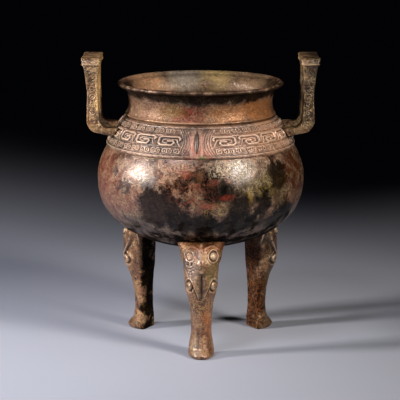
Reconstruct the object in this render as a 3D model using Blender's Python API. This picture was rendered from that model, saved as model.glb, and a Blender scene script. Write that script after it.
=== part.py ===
"""Bronze ding: a cast tripod food vessel, hollow and open at the top.

One casting: a full bowl under a drawn-in neck with a flared lip, a raised ornament band on the
shoulder, two upright ears that spring from the band and bend upwards, and three legs that carry a
mask at the top and end in a hoof. Metres, +Z up. The origin is on the bowl's axis at floor level,
the ears stand at -X and +X, and one leg faces -Y.
"""

import math

import bmesh
import bpy
from mathutils import Matrix, Vector

# Bowl, from the floor upwards.
BOWL_CLEARANCE = 0.0987
BELLY_DEPTH = 0.0731
BELLY_RADIUS = 0.1045
BELLY_RISE = 0.0318
BAND_FOOT_RADIUS = 0.0956
BAND_RISE = 0.0288
BAND_STEP = 0.0018
BAND_BULGE = 0.0018
NECK_FOOT_RADIUS = 0.0755
NECK_DRAW = 0.0032
NECK_WAIST_RISE = 0.0128
NECK_RISE = 0.0340
RIM_RADIUS = 0.0832
LIP_THICKNESS = 0.0042
LIP_EDGE = 0.0011
LIP_INNER_THINNING = 0.25
LIP_INNER_LIFT = 0.35
WALL = 0.0042

# Shape of the bowl's curves: exponents of a rounded profile, with 2 for a true ellipse.
BELLY_UNDER_FULLNESS = 2.53
BELLY_SIDE_FULLNESS = 1.93
SHOULDER_FULLNESS = 1.87
NECK_FOOT_FULLNESS = 2.2

# The bead and groove between band and neck.
GROOVE_DEPTH = 0.0012
GROOVE_WIDTH = 0.0010
BEAD_HEIGHT = 0.0009
BEAD_WIDTH = 0.0022

# Legs, from the sole upwards. Depth is measured outwards from the flat back of the leg.
LEG_COUNT = 3
LEG_TURN = math.radians(0.5)
LEG_INSET = 0.0420
LEG_SIDE = 0.0035
LEG_BURY = 0.0030
LEG_BACK_SHARE = 0.93
SOLE_DEPTH, SOLE_WIDTH = 0.0225, 0.0246
TOE_DEPTH, TOE_WIDTH = 0.0245, 0.0262
INSTEP_DEPTH, INSTEP_WIDTH = 0.0180, 0.0248
ANKLE_DEPTH, ANKLE_WIDTH = 0.0154, 0.0206
SHIN_DEPTH, SHIN_WIDTH = 0.0168, 0.0214
CALF_DEPTH, CALF_WIDTH = 0.0205, 0.0250
KNEE_DEPTH, KNEE_WIDTH = 0.0262, 0.0310
JAW_DEPTH, JAW_WIDTH = 0.0272, 0.0334
CHEEK_DEPTH, CHEEK_WIDTH = 0.0268, 0.0372
BROW_DEPTH, BROW_WIDTH = 0.0205, 0.0412
CROWN_DEPTH, CROWN_WIDTH = 0.0095, 0.0462

# Leg stations as shares of the leg's height, with their depth and width.
LEG_STATIONS = (
    (0.000, SOLE_DEPTH, SOLE_WIDTH),
    (0.024, TOE_DEPTH, TOE_WIDTH),
    (0.085, INSTEP_DEPTH, INSTEP_WIDTH),
    (0.220, ANKLE_DEPTH, ANKLE_WIDTH),
    (0.350, SHIN_DEPTH, SHIN_WIDTH),
    (0.470, CALF_DEPTH, CALF_WIDTH),
    (0.580, KNEE_DEPTH, KNEE_WIDTH),
    (0.690, JAW_DEPTH, JAW_WIDTH),
    (0.820, CHEEK_DEPTH, CHEEK_WIDTH),
    (0.910, BROW_DEPTH, BROW_WIDTH),
    (1.000, CROWN_DEPTH, CROWN_WIDTH),
)
LEG_RINGS = (0, 0.024, 0.05, 0.085, 0.15, 0.22, 0.3, 0.38, 0.45, 0.52, 0.6, 0.69, 0.77, 0.83, 0.88, 0.94, 1)

# The mask on each leg: eyes under the brow, a nose between them, two lobes for the snout, and a
# curl on each side of it. Heights are shares of the leg's height.
EYE_HEIGHT = 0.895
EYE_OFFSET = 0.0113
EYE_RADIUS = 0.0037
EYE_RISE = 0.0026
CURL_HEIGHT = 0.632
CURL_OFFSET = 0.0116
CURL_RADIUS = 0.0030
CURL_STRETCH = 1.6
CURL_RISE = 0.0026
RING_GAP = 0.0009
RING_WIDTH = 0.0017
RING_RISE = 0.0012
LOBE_HEIGHT = 0.690
LOBE_OFFSET = 0.0043
LOBE_RADIUS = 0.0040
LOBE_STRETCH = 2.6
LOBE_RISE = 0.0014
NOSE_WIDTH = 0.0066
NOSE_RISE = 0.0016

# The nose's stations: share of the leg's height, and shares of its rise and width.
NOSE_STATIONS = ((0.740, 0.2, 0.5), (0.803, 1.0, 0.8), (0.887, 1.0, 1.0), (0.950, 0.4, 1.4))
NOSE_TOP_SHARE = 0.4
BOSS_SHOULDER = (0.65, 0.8)

# Ears. Their inner faces clear the rim, and their feet run into the band.
EAR_RIM_GAP = 0.0186
EAR_TOP = 0.2923
EAR_WAIST = 0.0108
EAR_CROWN = 0.0190
EAR_FILLET = 0.0095
EAR_FILLET_ARC = (-5, -85)
EAR_KNEE_RADIUS = 0.0142
EAR_KNEE_INSET = 0.0133
EAR_KNEE_RISE = 0.0084
EAR_KNEE_ARC = (-60, -8)
EAR_FOOT_SPREAD = 0.0029
EAR_FOOT_RISE = 0.0014
EAR_WIDTH = 0.0580
EAR_BAR = 0.0138
EAR_CROWN_BAR = 0.0180
EAR_CORNER = 0.0055
EAR_ARCH = 0.0090
EAR_FOOT_TOP = 0.62
EAR_FOOT_BASE = 0.34

# How far the ear's faces leave the upright, outwards, at a depth under its top.
EAR_INNER_LEAN = ((0.0, -0.0025), (0.0067, -0.0010), (0.0171, 0.0))
EAR_OUTER_LEAN = ((0.0228, 0.0010), (0.0133, 0.0022))
EAR_WAIST_DRAW = 0.0003

# Ornament on the band: a flange front and back, and hooked scrolls on both sides of it.
BAND_TURN = math.radians(-2.4)
FLANGE_LENGTH = 0.0262
FLANGE_WIDTH = 0.0046
FLANGE_RISE = 0.0030
SCROLL_BAR_WIDTH = 0.0018
SCROLL_BAR_RISE = 0.0009
SCROLL_BLOCK_HEIGHT = 0.0090
SCROLL_BLOCKS = ((0.0270, 0.0220), (0.0535, 0.0220), (0.0785, 0.0170))
BURY = 0.0012

# Shapes on the band. The scroll's path is in half lengths and half heights of its block, and the
# flange's stations are shares of its half length, width and rise.
SCROLL_PATH = (
    (-0.15, -0.1),
    (0.35, 0.0),
    (0.45, -0.45),
    (0.25, -1.0),
    (-0.75, -1.0),
    (-1.0, -0.6),
    (-1.0, 0.6),
    (-0.75, 1.0),
    (0.85, 1.0),
)
SCROLL_BAR_SECTION = ((-1, False), (-0.6, True), (0.6, True), (1, False))
FLANGE_STATIONS = ((-1, 0.05, 0.1), (-0.5, 0.75, 0.8), (0, 1, 1), (0.5, 0.75, 0.8), (1, 0.05, 0.1))

# Facets of the curved forms.
SEGMENTS = 48
BOSS_SEGMENTS = 8
LEG_FACETS = 10
CORNER_STEPS = 4
BELLY_STEPS = 10
SHOULDER_STEPS = 4
BAND_STEPS = 4
NECK_STEPS = 2
FLARE_STEPS = 5
LIP_STEPS = 3
CAVITY_BELLY_STEPS = 6
CAVITY_SHOULDER_STEPS = 2
CAVITY_BAND_SHARES = (0.4, 0.9)
CAVITY_NECK_SHARE = 0.6

SMOOTH_UP_TO = math.radians(32)

# Heights that follow from the sizes above.
BELLY_HEIGHT = BOWL_CLEARANCE + BELLY_DEPTH
BAND_FOOT = BELLY_HEIGHT + BELLY_RISE
BAND_HEAD = BAND_FOOT + BAND_RISE
RIM_HEIGHT = BAND_HEAD + NECK_RISE
NECK_WAIST = BAND_HEAD + NECK_WAIST_RISE
NECK_WAIST_RADIUS = NECK_FOOT_RADIUS - NECK_DRAW
LEG_BACK_RADIUS = BELLY_RADIUS - LEG_INSET
EAR_INNER = RIM_RADIUS + EAR_RIM_GAP


def bronze_material():
    """Brown patinated bronze."""
    material = bpy.data.materials.new("patinated_bronze")
    material.use_nodes = True
    shader = material.node_tree.nodes["Principled BSDF"]
    shader.inputs["Base Color"].default_value = (0.20, 0.105, 0.060, 1.0)
    shader.inputs["Metallic"].default_value = 0.6
    shader.inputs["Roughness"].default_value = 0.45
    return material


def make_object(name, mesh_builder, material):
    """Turns a finished bmesh into a linked object."""
    bmesh.ops.remove_doubles(mesh_builder, verts=mesh_builder.verts, dist=1e-6)
    bmesh.ops.recalc_face_normals(mesh_builder, faces=mesh_builder.faces)
    mesh = bpy.data.meshes.new(name)
    mesh_builder.to_mesh(mesh)
    mesh_builder.free()
    mesh.shade_smooth()
    mesh.set_sharp_from_angle(angle=SMOOTH_UP_TO)
    mesh.materials.append(material)
    made = bpy.data.objects.new(name, mesh)
    bpy.context.scene.collection.objects.link(made)
    return made


def as_helper(helper):
    """A helper is joined or cut into the casting and isn't a piece of its own."""
    helper.hide_render = True
    helper.display_type = "WIRE"
    return helper


def arc(centre, radius, start, end, steps):
    """Points (x, z) on an arc, with angles in degrees from +x towards +z."""
    points = []
    for step in range(steps + 1):
        angle = math.radians(start + (end - start) * step / steps)
        points.append((centre[0] + radius * math.cos(angle), centre[1] + radius * math.sin(angle)))
    return points


def through(stations, at):
    """A smooth value at a place between stations (place, value), without overshoot."""
    places = [station[0] for station in stations]
    values = [station[1] for station in stations]
    slopes = [
        (values[i + 1] - values[i]) / (places[i + 1] - places[i]) for i in range(len(stations) - 1)
    ]
    tangents = [slopes[0]]
    for before, after in zip(slopes, slopes[1:]):
        together = before * after
        tangents.append(2 * together / (before + after) if together > 0 else 0.0)
    tangents.append(slopes[-1])
    i = max(n for n in range(len(stations) - 1) if places[n] <= at or n == 0)
    span = places[i + 1] - places[i]
    t = (at - places[i]) / span
    return (
        values[i] * (2 * t**3 - 3 * t**2 + 1)
        + tangents[i] * span * (t**3 - 2 * t**2 + t)
        + values[i + 1] * (3 * t**2 - 2 * t**3)
        + tangents[i + 1] * span * (t**3 - t**2)
    )


def belly_under(steps, inset=0.0):
    """The bowl from its lowest point on the axis to its widest ring."""
    points = []
    for step in range(steps + 1):
        angle = math.pi / 2 * step / steps
        radius = (BELLY_RADIUS - inset) * math.sin(angle) ** (2 / BELLY_SIDE_FULLNESS)
        drop = (BELLY_DEPTH - inset) * max(math.cos(angle), 0.0) ** (2 / BELLY_UNDER_FULLNESS)
        points.append((radius, BELLY_HEIGHT - drop))
    return points


def belly_height_at(radius):
    """Height of the bowl's outer surface at a radius under its widest ring."""
    share = min(radius / BELLY_RADIUS, 1.0) ** BELLY_SIDE_FULLNESS
    return BELLY_HEIGHT - BELLY_DEPTH * (1 - share) ** (1 / BELLY_UNDER_FULLNESS)


def belly_over(steps, inset=0.0):
    """The bowl from above its widest ring to just under the band."""
    foot = BAND_FOOT_RADIUS - BAND_STEP
    points = []
    for step in range(1, steps + 1):
        share = step / steps
        radius = BELLY_RADIUS - (BELLY_RADIUS - foot) * share**SHOULDER_FULLNESS
        points.append((radius - inset, BELLY_HEIGHT + BELLY_RISE * share))
    return points


BAND_SLOPE = Vector((NECK_FOOT_RADIUS - BAND_FOOT_RADIUS, BAND_HEAD - BAND_FOOT))
BAND_LENGTH = BAND_SLOPE.length
BAND_OUT = Vector((BAND_SLOPE.y, -BAND_SLOPE.x)).normalized()


def band_point(share, proud=0.0):
    """(radius, height) on the band, from 0 at its foot to 1 at its head, and proud of it."""
    bulge = 4 * BAND_BULGE * share * (1 - share) + proud
    place = Vector((BAND_FOOT_RADIUS, BAND_FOOT)) + BAND_SLOPE * share + BAND_OUT * bulge
    return (place.x, place.y)


def neck_under_flare(steps):
    """The neck from its foot bead to its waist."""
    start = BAND_HEAD + GROOVE_WIDTH + BEAD_WIDTH
    swell = NECK_DRAW - BEAD_HEIGHT
    points = []
    for step in range(steps + 1):
        share = step / steps
        radius = NECK_WAIST_RADIUS + swell * (1 - share) ** NECK_FOOT_FULLNESS
        points.append((radius, start + (NECK_WAIST - start) * share))
    return points


def neck_flare(steps):
    """The neck from its waist to the underside of the lip."""
    rise = RIM_HEIGHT - LIP_THICKNESS - NECK_WAIST
    reach = RIM_RADIUS - LIP_THICKNESS / 2 - NECK_WAIST_RADIUS
    points = []
    for step in range(1, steps + 1):
        angle = math.pi / 2 * step / steps
        radius = NECK_WAIST_RADIUS + reach * (1 - math.cos(angle))
        points.append((radius, NECK_WAIST + rise * math.sin(angle)))
    return points


def outer_profile():
    """The whole outer outline (radius, height), from the axis below to the axis at rim level."""
    points = belly_under(BELLY_STEPS) + belly_over(SHOULDER_STEPS)
    points += [band_point(step / BAND_STEPS) for step in range(BAND_STEPS + 1)]
    points.append((NECK_FOOT_RADIUS - GROOVE_DEPTH, BAND_HEAD + GROOVE_WIDTH / 2))
    points.append((NECK_FOOT_RADIUS + BEAD_HEIGHT / 2, BAND_HEAD + GROOVE_WIDTH + BEAD_WIDTH / 2))
    points += neck_under_flare(NECK_STEPS) + neck_flare(FLARE_STEPS)
    lip_centre = (RIM_RADIUS - LIP_THICKNESS / 2, RIM_HEIGHT - LIP_THICKNESS / 2)
    points += arc(lip_centre, LIP_THICKNESS / 2, -45, 90, LIP_STEPS)
    points.append((0.0, RIM_HEIGHT))
    return points


def cavity_profile():
    """The hollow's outline: the smooth bowl one wall inwards, and open past the rim."""
    points = belly_under(CAVITY_BELLY_STEPS, WALL) + belly_over(CAVITY_SHOULDER_STEPS, WALL)
    for share in CAVITY_BAND_SHARES:
        points.append(band_point(share, -WALL - BAND_STEP * (1 - share)))
    points.append((NECK_WAIST_RADIUS - WALL, BAND_HEAD + NECK_WAIST_RISE * CAVITY_NECK_SHARE))
    for radius, height in [(NECK_WAIST_RADIUS, NECK_WAIST)] + neck_flare(FLARE_STEPS)[:-1]:
        climb = (height - NECK_WAIST) / (NECK_RISE - NECK_WAIST_RISE)
        thinned = WALL * (1 - LIP_INNER_THINNING * climb)
        points.append((radius - thinned, height + WALL * LIP_INNER_LIFT * climb))
    edge = RIM_RADIUS - LIP_THICKNESS
    points.append((edge - LIP_EDGE, RIM_HEIGHT - LIP_EDGE))
    points.append((edge + LIP_EDGE, RIM_HEIGHT))
    points.append((edge + LIP_EDGE, RIM_HEIGHT + WALL))
    points.append((0.0, RIM_HEIGHT + WALL))
    return points


def turned(name, profile, segments, material):
    """A closed solid turned about the Z axis from an outline that starts and ends on it."""
    builder = bmesh.new()
    corners = [builder.verts.new((radius, 0.0, height)) for radius, height in profile]
    edges = [builder.edges.new(pair) for pair in zip(corners, corners[1:])]
    bmesh.ops.spin(
        builder,
        geom=corners + edges,
        cent=(0, 0, 0),
        axis=(0, 0, 1),
        angle=2 * math.pi,
        steps=segments,
        use_merge=True,
    )
    return make_object(name, builder, material)


def leg_height():
    """Where the leg's outer face has run into the bowl."""
    return belly_height_at(LEG_BACK_RADIUS + CROWN_DEPTH) + LEG_BURY


def leg_depth(share):
    return through([(station[0], station[1]) for station in LEG_STATIONS], share)


def leg_width(share):
    return through([(station[0], station[2]) for station in LEG_STATIONS], share)


def leg_surface(share, offset):
    """(point, outward normal) on a leg's round face at a height share and a sideways offset.

    The leg faces +X. Its section is half an ellipse on straight sides and a flat back."""
    half = leg_width(share) / 2
    reach = leg_depth(share) - LEG_SIDE
    sine = max(-1.0, min(1.0, offset / half))
    cosine = math.sqrt(1 - sine * sine)
    point = Vector((LEG_BACK_RADIUS + LEG_SIDE + reach * cosine, offset, leg_height() * share))
    step = 0.01
    climb = (leg_depth(min(share + step, 1.0)) - leg_depth(share)) / (leg_height() * step)
    normal = Vector((cosine / reach, sine / half, 0)).normalized()
    normal = Vector((normal.x, normal.y, -climb * cosine)).normalized()
    return point, normal


def leg_solid(name, material):
    """The plain leg: rings of the section, bridged from sole to top."""
    builder = bmesh.new()
    rings = []
    for share in LEG_RINGS:
        half = leg_width(share) / 2
        reach = leg_depth(share) - LEG_SIDE
        height = leg_height() * share
        outline = [(LEG_BACK_RADIUS, -half * LEG_BACK_SHARE)]
        for step in range(LEG_FACETS + 1):
            angle = math.pi * (step / LEG_FACETS - 0.5)
            away = LEG_SIDE + reach * math.cos(angle)
            outline.append((LEG_BACK_RADIUS + away, half * math.sin(angle)))
        outline.append((LEG_BACK_RADIUS, half * LEG_BACK_SHARE))
        rings.append([builder.verts.new((x, y, height)) for x, y in outline])
    for low, high in zip(rings, rings[1:]):
        for i in range(len(low)):
            j = (i + 1) % len(low)
            builder.faces.new((low[i], low[j], high[j], high[i]))
    builder.faces.new(rings[0])
    builder.faces.new(rings[-1])
    return make_object(name, builder, material)


def on_leg(made, share, offset, stretch):
    """Stretches a turned boss along the leg and sets it on the leg's round face."""
    point, normal = leg_surface(share, offset)
    side = Vector((0, 0, 1)).cross(normal).normalized()
    along = normal.cross(side).normalized()
    turn = Matrix((side, along, normal)).transposed().to_4x4()
    made.data.transform(Matrix.Diagonal((1.0, stretch, 1.0, 1.0)))
    made.data.transform(Matrix.Translation(point) @ turn)
    return made


def ringed_boss(name, radius, rise, material):
    """A domed boss inside a raised ring."""
    ring_in = radius + RING_GAP
    ring_out = ring_in + RING_WIDTH
    shoulder = (radius * BOSS_SHOULDER[0], rise * BOSS_SHOULDER[1])
    profile = [(0.0, rise), shoulder, (radius, 0.0), (ring_in, 0.0)]
    profile += [(ring_in + RING_WIDTH / 2, RING_RISE), (ring_out, -2 * BURY), (0.0, -2 * BURY)]
    return turned(name, profile, BOSS_SEGMENTS, material)


def plain_boss(name, radius, rise, material):
    """A low dome."""
    shoulder = (radius * BOSS_SHOULDER[0], rise * BOSS_SHOULDER[1])
    profile = [(0.0, rise), shoulder, (radius, -BURY), (0.0, -2 * BURY)]
    return turned(name, profile, BOSS_SEGMENTS, material)


def nose(name, material):
    """A ridge that runs down the middle of the mask and fades at both ends."""
    builder = bmesh.new()
    crown = []
    for share, rise, width in NOSE_STATIONS:
        point, normal = leg_surface(share, 0.0)
        side = Vector((0, NOSE_WIDTH / 2 * width, 0))
        top = point + normal * NOSE_RISE * rise
        base = point - normal * (2 * BURY)
        top_side = side * NOSE_TOP_SHARE
        corners = (base - side, top - top_side, top + top_side, base + side)
        crown.append([builder.verts.new(corner) for corner in corners])
    for low, high in zip(crown, crown[1:]):
        for i in range(4):
            j = (i + 1) % 4
            builder.faces.new((low[i], low[j], high[j], high[i]))
    builder.faces.new(crown[0])
    builder.faces.new(crown[-1])
    return make_object(name, builder, material)


def leg_pieces(number, material):
    """Leg, nose, eyes, snout and curls of one leg, turned to its place."""
    pieces = [leg_solid(f"leg_form_{number}", material), nose(f"nose_form_{number}", material)]
    for side in (-1, 1):
        eye = ringed_boss(f"eye_form_{number}_{side}", EYE_RADIUS, EYE_RISE, material)
        pieces.append(on_leg(eye, EYE_HEIGHT, side * EYE_OFFSET, 1.0))
        lobe = plain_boss(f"lobe_form_{number}_{side}", LOBE_RADIUS, LOBE_RISE, material)
        pieces.append(on_leg(lobe, LOBE_HEIGHT, side * LOBE_OFFSET, LOBE_STRETCH))
        curl = ringed_boss(f"curl_form_{number}_{side}", CURL_RADIUS, CURL_RISE, material)
        pieces.append(on_leg(curl, CURL_HEIGHT, side * CURL_OFFSET, CURL_STRETCH))
    facing = -math.pi / 2 + LEG_TURN + 2 * math.pi * number / LEG_COUNT
    for piece in pieces:
        piece.data.transform(Matrix.Rotation(facing, 4, "Z"))
    return pieces


def ear_outline():
    """The ear seen along Y: a strap that leaves the band, bends up and leans out to its crown."""
    foot_top_radius, foot_top = band_point(EAR_FOOT_TOP)
    foot_base_radius, foot_base = band_point(EAR_FOOT_BASE)
    waist = (foot_top + EAR_TOP) / 2
    outer = EAR_INNER + EAR_WAIST
    crown = EAR_TOP + BURY
    head = EAR_INNER + EAR_INNER_LEAN[0][1]
    inside = [(head, crown)]
    inside += [(EAR_INNER + lean, EAR_TOP - depth) for depth, lean in EAR_INNER_LEAN[1:]]
    inside.append((EAR_INNER, waist))
    centre = (EAR_INNER + EAR_INNER_LEAN[1][1] - EAR_FILLET, foot_top + EAR_FILLET)
    inside += arc(centre, EAR_FILLET, *EAR_FILLET_ARC, CORNER_STEPS)
    inside.append((foot_top_radius - WALL - BAND_STEP, foot_top))
    outside = [(foot_base_radius - WALL, foot_base)]
    outside.append((foot_base_radius + EAR_FOOT_SPREAD, foot_base + EAR_FOOT_RISE))
    centre = (outer - EAR_KNEE_INSET, foot_top + EAR_KNEE_RISE)
    outside += arc(centre, EAR_KNEE_RADIUS, *EAR_KNEE_ARC, CORNER_STEPS)
    outside.append((outer - EAR_WAIST_DRAW, waist))
    outside += [(outer + lean, EAR_TOP - depth) for depth, lean in EAR_OUTER_LEAN]
    outside.append((head + EAR_CROWN, crown))
    return inside + outside


def prism(name, outline, axis, low, high, material):
    """A closed solid: an outline in the plane across the axis, extruded along it."""
    builder = bmesh.new()
    place = (lambda a, b, c: (c, a, b)) if axis == "X" else (lambda a, b, c: (a, c, b))
    face = builder.faces.new([builder.verts.new(place(a, b, low)) for a, b in outline])
    grown = bmesh.ops.extrude_face_region(builder, geom=[face])
    corners = [item for item in grown["geom"] if isinstance(item, bmesh.types.BMVert)]
    shift = Vector(place(0, 0, high - low))
    bmesh.ops.translate(builder, verts=corners, vec=shift)
    return make_object(name, builder, material)


def arch_outline(half, foot, top, corner):
    """An upright outline (y, z) with square feet and two round upper corners."""
    points = [(half, foot)]
    points += arc((half - corner, top - corner), corner, 0, 90, CORNER_STEPS)
    points += arc((corner - half, top - corner), corner, 90, 180, CORNER_STEPS)
    points.append((-half, foot))
    return points


def cut(target, other, operation):
    """Adds a Boolean to the target."""
    modifier = target.modifiers.new(f"{operation.lower()}_{other.name}", "BOOLEAN")
    modifier.operation = operation
    modifier.solver = "EXACT"
    modifier.object = other


def apply_modifiers(target):
    """Replaces the mesh by the evaluated one and drops the modifiers."""
    graph = bpy.context.evaluated_depsgraph_get()
    solid = bpy.data.meshes.new_from_object(target.evaluated_get(graph))
    target.modifiers.clear()
    target.data = solid


def ear(side, material):
    """One ear: the strap cut to an arch with an arched opening, so that it stands on two bars."""
    half = EAR_WIDTH / 2
    reach = EAR_INNER + EAR_CROWN * 2
    strap = prism(f"ear_form_{side}", ear_outline(), "Y", -half - BURY, half + BURY, material)
    frame = arch_outline(half, BAND_FOOT - WALL, EAR_TOP, EAR_CORNER)
    frame = as_helper(prism(f"ear_arch_{side}", frame, "X", 0.0, reach, material))
    loop = arch_outline(half - EAR_BAR, BAND_FOOT - 2 * WALL, EAR_TOP - EAR_CROWN_BAR, EAR_ARCH)
    opening = as_helper(prism(f"ear_opening_{side}", loop, "X", -WALL, reach + WALL, material))
    cut(strap, frame, "INTERSECT")
    cut(strap, opening, "DIFFERENCE")
    apply_modifiers(strap)
    strap.data.transform(Matrix.Diagonal((side, 1.0, 1.0, 1.0)))
    if side < 0:
        strap.data.flip_normals()
    return strap


def on_band(along, share, proud, facing):
    """A point on the band: a distance along it from the flange, and a share of its height."""
    radius, height = band_point(share, proud)
    middle = band_point(0.5)[0]
    angle = facing + along / middle
    return Vector((radius * math.cos(angle), radius * math.sin(angle), height))


def raised_bar(name, path, facing, material):
    """A low bar that follows a path (distance along, share of height) over the band."""
    builder = bmesh.new()
    sections = []
    for i, (along, share) in enumerate(path):
        before, after = path[max(i - 1, 0)], path[min(i + 1, len(path) - 1)]
        run = Vector((after[0] - before[0], (after[1] - before[1]) * BAND_LENGTH)).normalized()
        out = Vector((-run.y, run.x)) * SCROLL_BAR_WIDTH / 2
        corners = []
        for sign, raised in SCROLL_BAR_SECTION:
            height = share + sign * out.y / BAND_LENGTH
            proud = SCROLL_BAR_RISE if raised else -BURY
            corners.append(on_band(along + sign * out.x, height, proud, facing))
        sections.append([builder.verts.new(corner) for corner in corners])
    for low, high in zip(sections, sections[1:]):
        for i in range(4):
            j = (i + 1) % 4
            builder.faces.new((low[i], low[j], high[j], high[i]))
    builder.faces.new(sections[0])
    builder.faces.new(sections[-1])
    return make_object(name, builder, material)


def hooked_scroll(name, centre, length, hand, facing, material):
    """A squared C that is open towards the flange and hooks back inside itself."""
    half = length / 2
    rise = SCROLL_BLOCK_HEIGHT / 2 / BAND_LENGTH
    path = [(hand * (centre - x * half), 0.5 + y * rise) for x, y in SCROLL_PATH]
    return raised_bar(name, path, facing, material)


def flange(name, facing, material):
    """An upright almond that stands proud of the band's middle."""
    builder = bmesh.new()
    half = FLANGE_LENGTH / 2 / BAND_LENGTH
    sections = []
    for share, spread, rise in FLANGE_STATIONS:
        corners = []
        for along, proud in ((-1, -BURY), (0, rise * FLANGE_RISE), (1, -BURY)):
            corners.append(
                on_band(along * spread * FLANGE_WIDTH / 2, 0.5 + share * half, proud, facing)
            )
        sections.append([builder.verts.new(corner) for corner in corners])
    for low, high in zip(sections, sections[1:]):
        for i in range(3):
            j = (i + 1) % 3
            builder.faces.new((low[i], low[j], high[j], high[i]))
    builder.faces.new(sections[0])
    builder.faces.new(sections[-1])
    return make_object(name, builder, material)


def band_pieces(material):
    """Flanges and hooked scrolls, front and back."""
    pieces = []
    for place, turn in (("front", -math.pi / 2), ("back", math.pi / 2)):
        facing = turn + BAND_TURN
        pieces.append(flange(f"flange_form_{place}", facing, material))
        for number, (centre, length) in enumerate(SCROLL_BLOCKS):
            for hand in (-1, 1):
                name = f"scroll_form_{place}_{number}_{hand}"
                pieces.append(hooked_scroll(name, centre, length, hand, facing, material))
    return pieces


def build():
    for old in list(bpy.data.objects):
        bpy.data.objects.remove(old)
    material = bronze_material()
    vessel = turned("ding_vessel", outer_profile(), SEGMENTS, material)
    fittings = band_pieces(material) + [ear(side, material) for side in (-1, 1)]
    for number in range(LEG_COUNT):
        fittings += leg_pieces(number, material)
    gathered = bpy.data.collections.new("cast_on")
    bpy.context.scene.collection.children.link(gathered)
    for piece in fittings:
        as_helper(piece)
        bpy.context.scene.collection.objects.unlink(piece)
        gathered.objects.link(piece)
    union = vessel.modifiers.new("cast_in_one", "BOOLEAN")
    union.operation = "UNION"
    union.solver = "EXACT"
    union.operand_type = "COLLECTION"
    union.collection = gathered
    cavity = as_helper(turned("cavity_form", cavity_profile(), SEGMENTS, material))
    cut(vessel, cavity, "DIFFERENCE")


build()
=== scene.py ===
"""Looks of the bronze ding: the worn and patinated skin of one casting, with its fine relief.

The pieces keep the form of the solid in the frame: a turned bowl, a ring of ornament on its
shoulder, two loop ears and three masked legs. Metres, +Z up, the front leg faces -Y.
"""

import math

import bmesh
import bpy
import numpy as np
from mathutils import Matrix, Vector, noise


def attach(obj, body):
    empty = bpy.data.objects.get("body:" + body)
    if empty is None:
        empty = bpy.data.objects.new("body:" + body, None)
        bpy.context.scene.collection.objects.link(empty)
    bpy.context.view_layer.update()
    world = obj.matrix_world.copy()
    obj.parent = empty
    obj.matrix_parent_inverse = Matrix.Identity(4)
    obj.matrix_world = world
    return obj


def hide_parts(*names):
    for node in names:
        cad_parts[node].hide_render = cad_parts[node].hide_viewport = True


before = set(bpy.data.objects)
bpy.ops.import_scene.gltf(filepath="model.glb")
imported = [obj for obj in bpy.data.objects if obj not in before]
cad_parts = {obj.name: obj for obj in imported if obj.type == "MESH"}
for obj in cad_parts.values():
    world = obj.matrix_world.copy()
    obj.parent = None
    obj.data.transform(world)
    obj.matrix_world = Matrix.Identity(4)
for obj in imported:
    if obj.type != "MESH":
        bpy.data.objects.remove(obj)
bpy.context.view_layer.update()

NODE = "ding_vessel"
BODY = "root"
MM = 0.001

# The bowl's sizes, as in the solid.
BOWL_CLEARANCE = 0.0987
BELLY_DEPTH = 0.0731
BELLY_RADIUS = 0.1045
BELLY_RISE = 0.0318
BAND_FOOT_RADIUS = 0.0956
BAND_RISE = 0.0288
BAND_STEP = 0.0018
BAND_BULGE = 0.0018
NECK_FOOT_RADIUS = 0.0755
NECK_DRAW = 0.0032
NECK_WAIST_RISE = 0.0128
NECK_RISE = 0.0340
RIM_RADIUS = 0.0832
LIP_THICKNESS = 0.0042
LIP_EDGE = 0.0011
WALL = 0.0042
BELLY_UNDER_FULLNESS = 2.53
BELLY_SIDE_FULLNESS = 1.93
SHOULDER_FULLNESS = 1.87
NECK_FOOT_FULLNESS = 2.2
GROOVE_DEPTH = 0.0012
GROOVE_WIDTH = 0.0010
BEAD_HEIGHT = 0.0009
BEAD_WIDTH = 0.0022

# Heights that follow from them.
NECK_WAIST_RADIUS = NECK_FOOT_RADIUS - NECK_DRAW
BELLY_HEIGHT = BOWL_CLEARANCE + BELLY_DEPTH
BAND_FOOT = BELLY_HEIGHT + BELLY_RISE
BAND_HEAD = BAND_FOOT + BAND_RISE
RIM_HEIGHT = BAND_HEAD + NECK_RISE
NECK_WAIST = BAND_HEAD + NECK_WAIST_RISE

# Legs. The stations give a share of the height, the depth outwards from the flat back and the width.
LEG_COUNT = 3
LEG_TURN = math.radians(0.5)
LEG_BACK_RADIUS = BELLY_RADIUS - 0.0420
LEG_SIDE = 0.0035
LEG_STATIONS = (
    (0.000, 0.0225, 0.0246),
    (0.024, 0.0245, 0.0262),
    (0.085, 0.0180, 0.0248),
    (0.220, 0.0154, 0.0206),
    (0.350, 0.0168, 0.0214),
    (0.470, 0.0205, 0.0250),
    (0.580, 0.0262, 0.0310),
    (0.690, 0.0272, 0.0334),
    (0.820, 0.0268, 0.0372),
    (0.910, 0.0205, 0.0412),
    (1.000, 0.0095, 0.0462),
)
LEG_BURY = 0.0030
SOLE_EDGE = 0.0008
LEG_BACK_SHARE = 0.93

# Ears.
EAR_INNER = RIM_RADIUS + 0.0186
EAR_TOP = 0.2923
EAR_WAIST = 0.0108
EAR_CROWN = 0.0190
EAR_KNEE_RADIUS = 0.0142
EAR_KNEE_INSET = 0.0133
EAR_KNEE_RISE = 0.0084
EAR_LEAN = 0.0010
EAR_WIDTH = 0.0580
EAR_BAR = 0.0138
EAR_CROWN_BAR = 0.0180
EAR_CORNER = 0.0055
EAR_ARCH = 0.0090
EAR_FILLET = 0.0095
EAR_FOOT_TOP = 0.62
EAR_FOOT_BASE = 0.34
EAR_EDGE = 0.0013

# Band ornament.
BAND_TURN = math.radians(-2.4)
FLANGE_LENGTH = 0.0262
FLANGE_WIDTH = 0.0046
FLANGE_RISE = 0.0030


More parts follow.
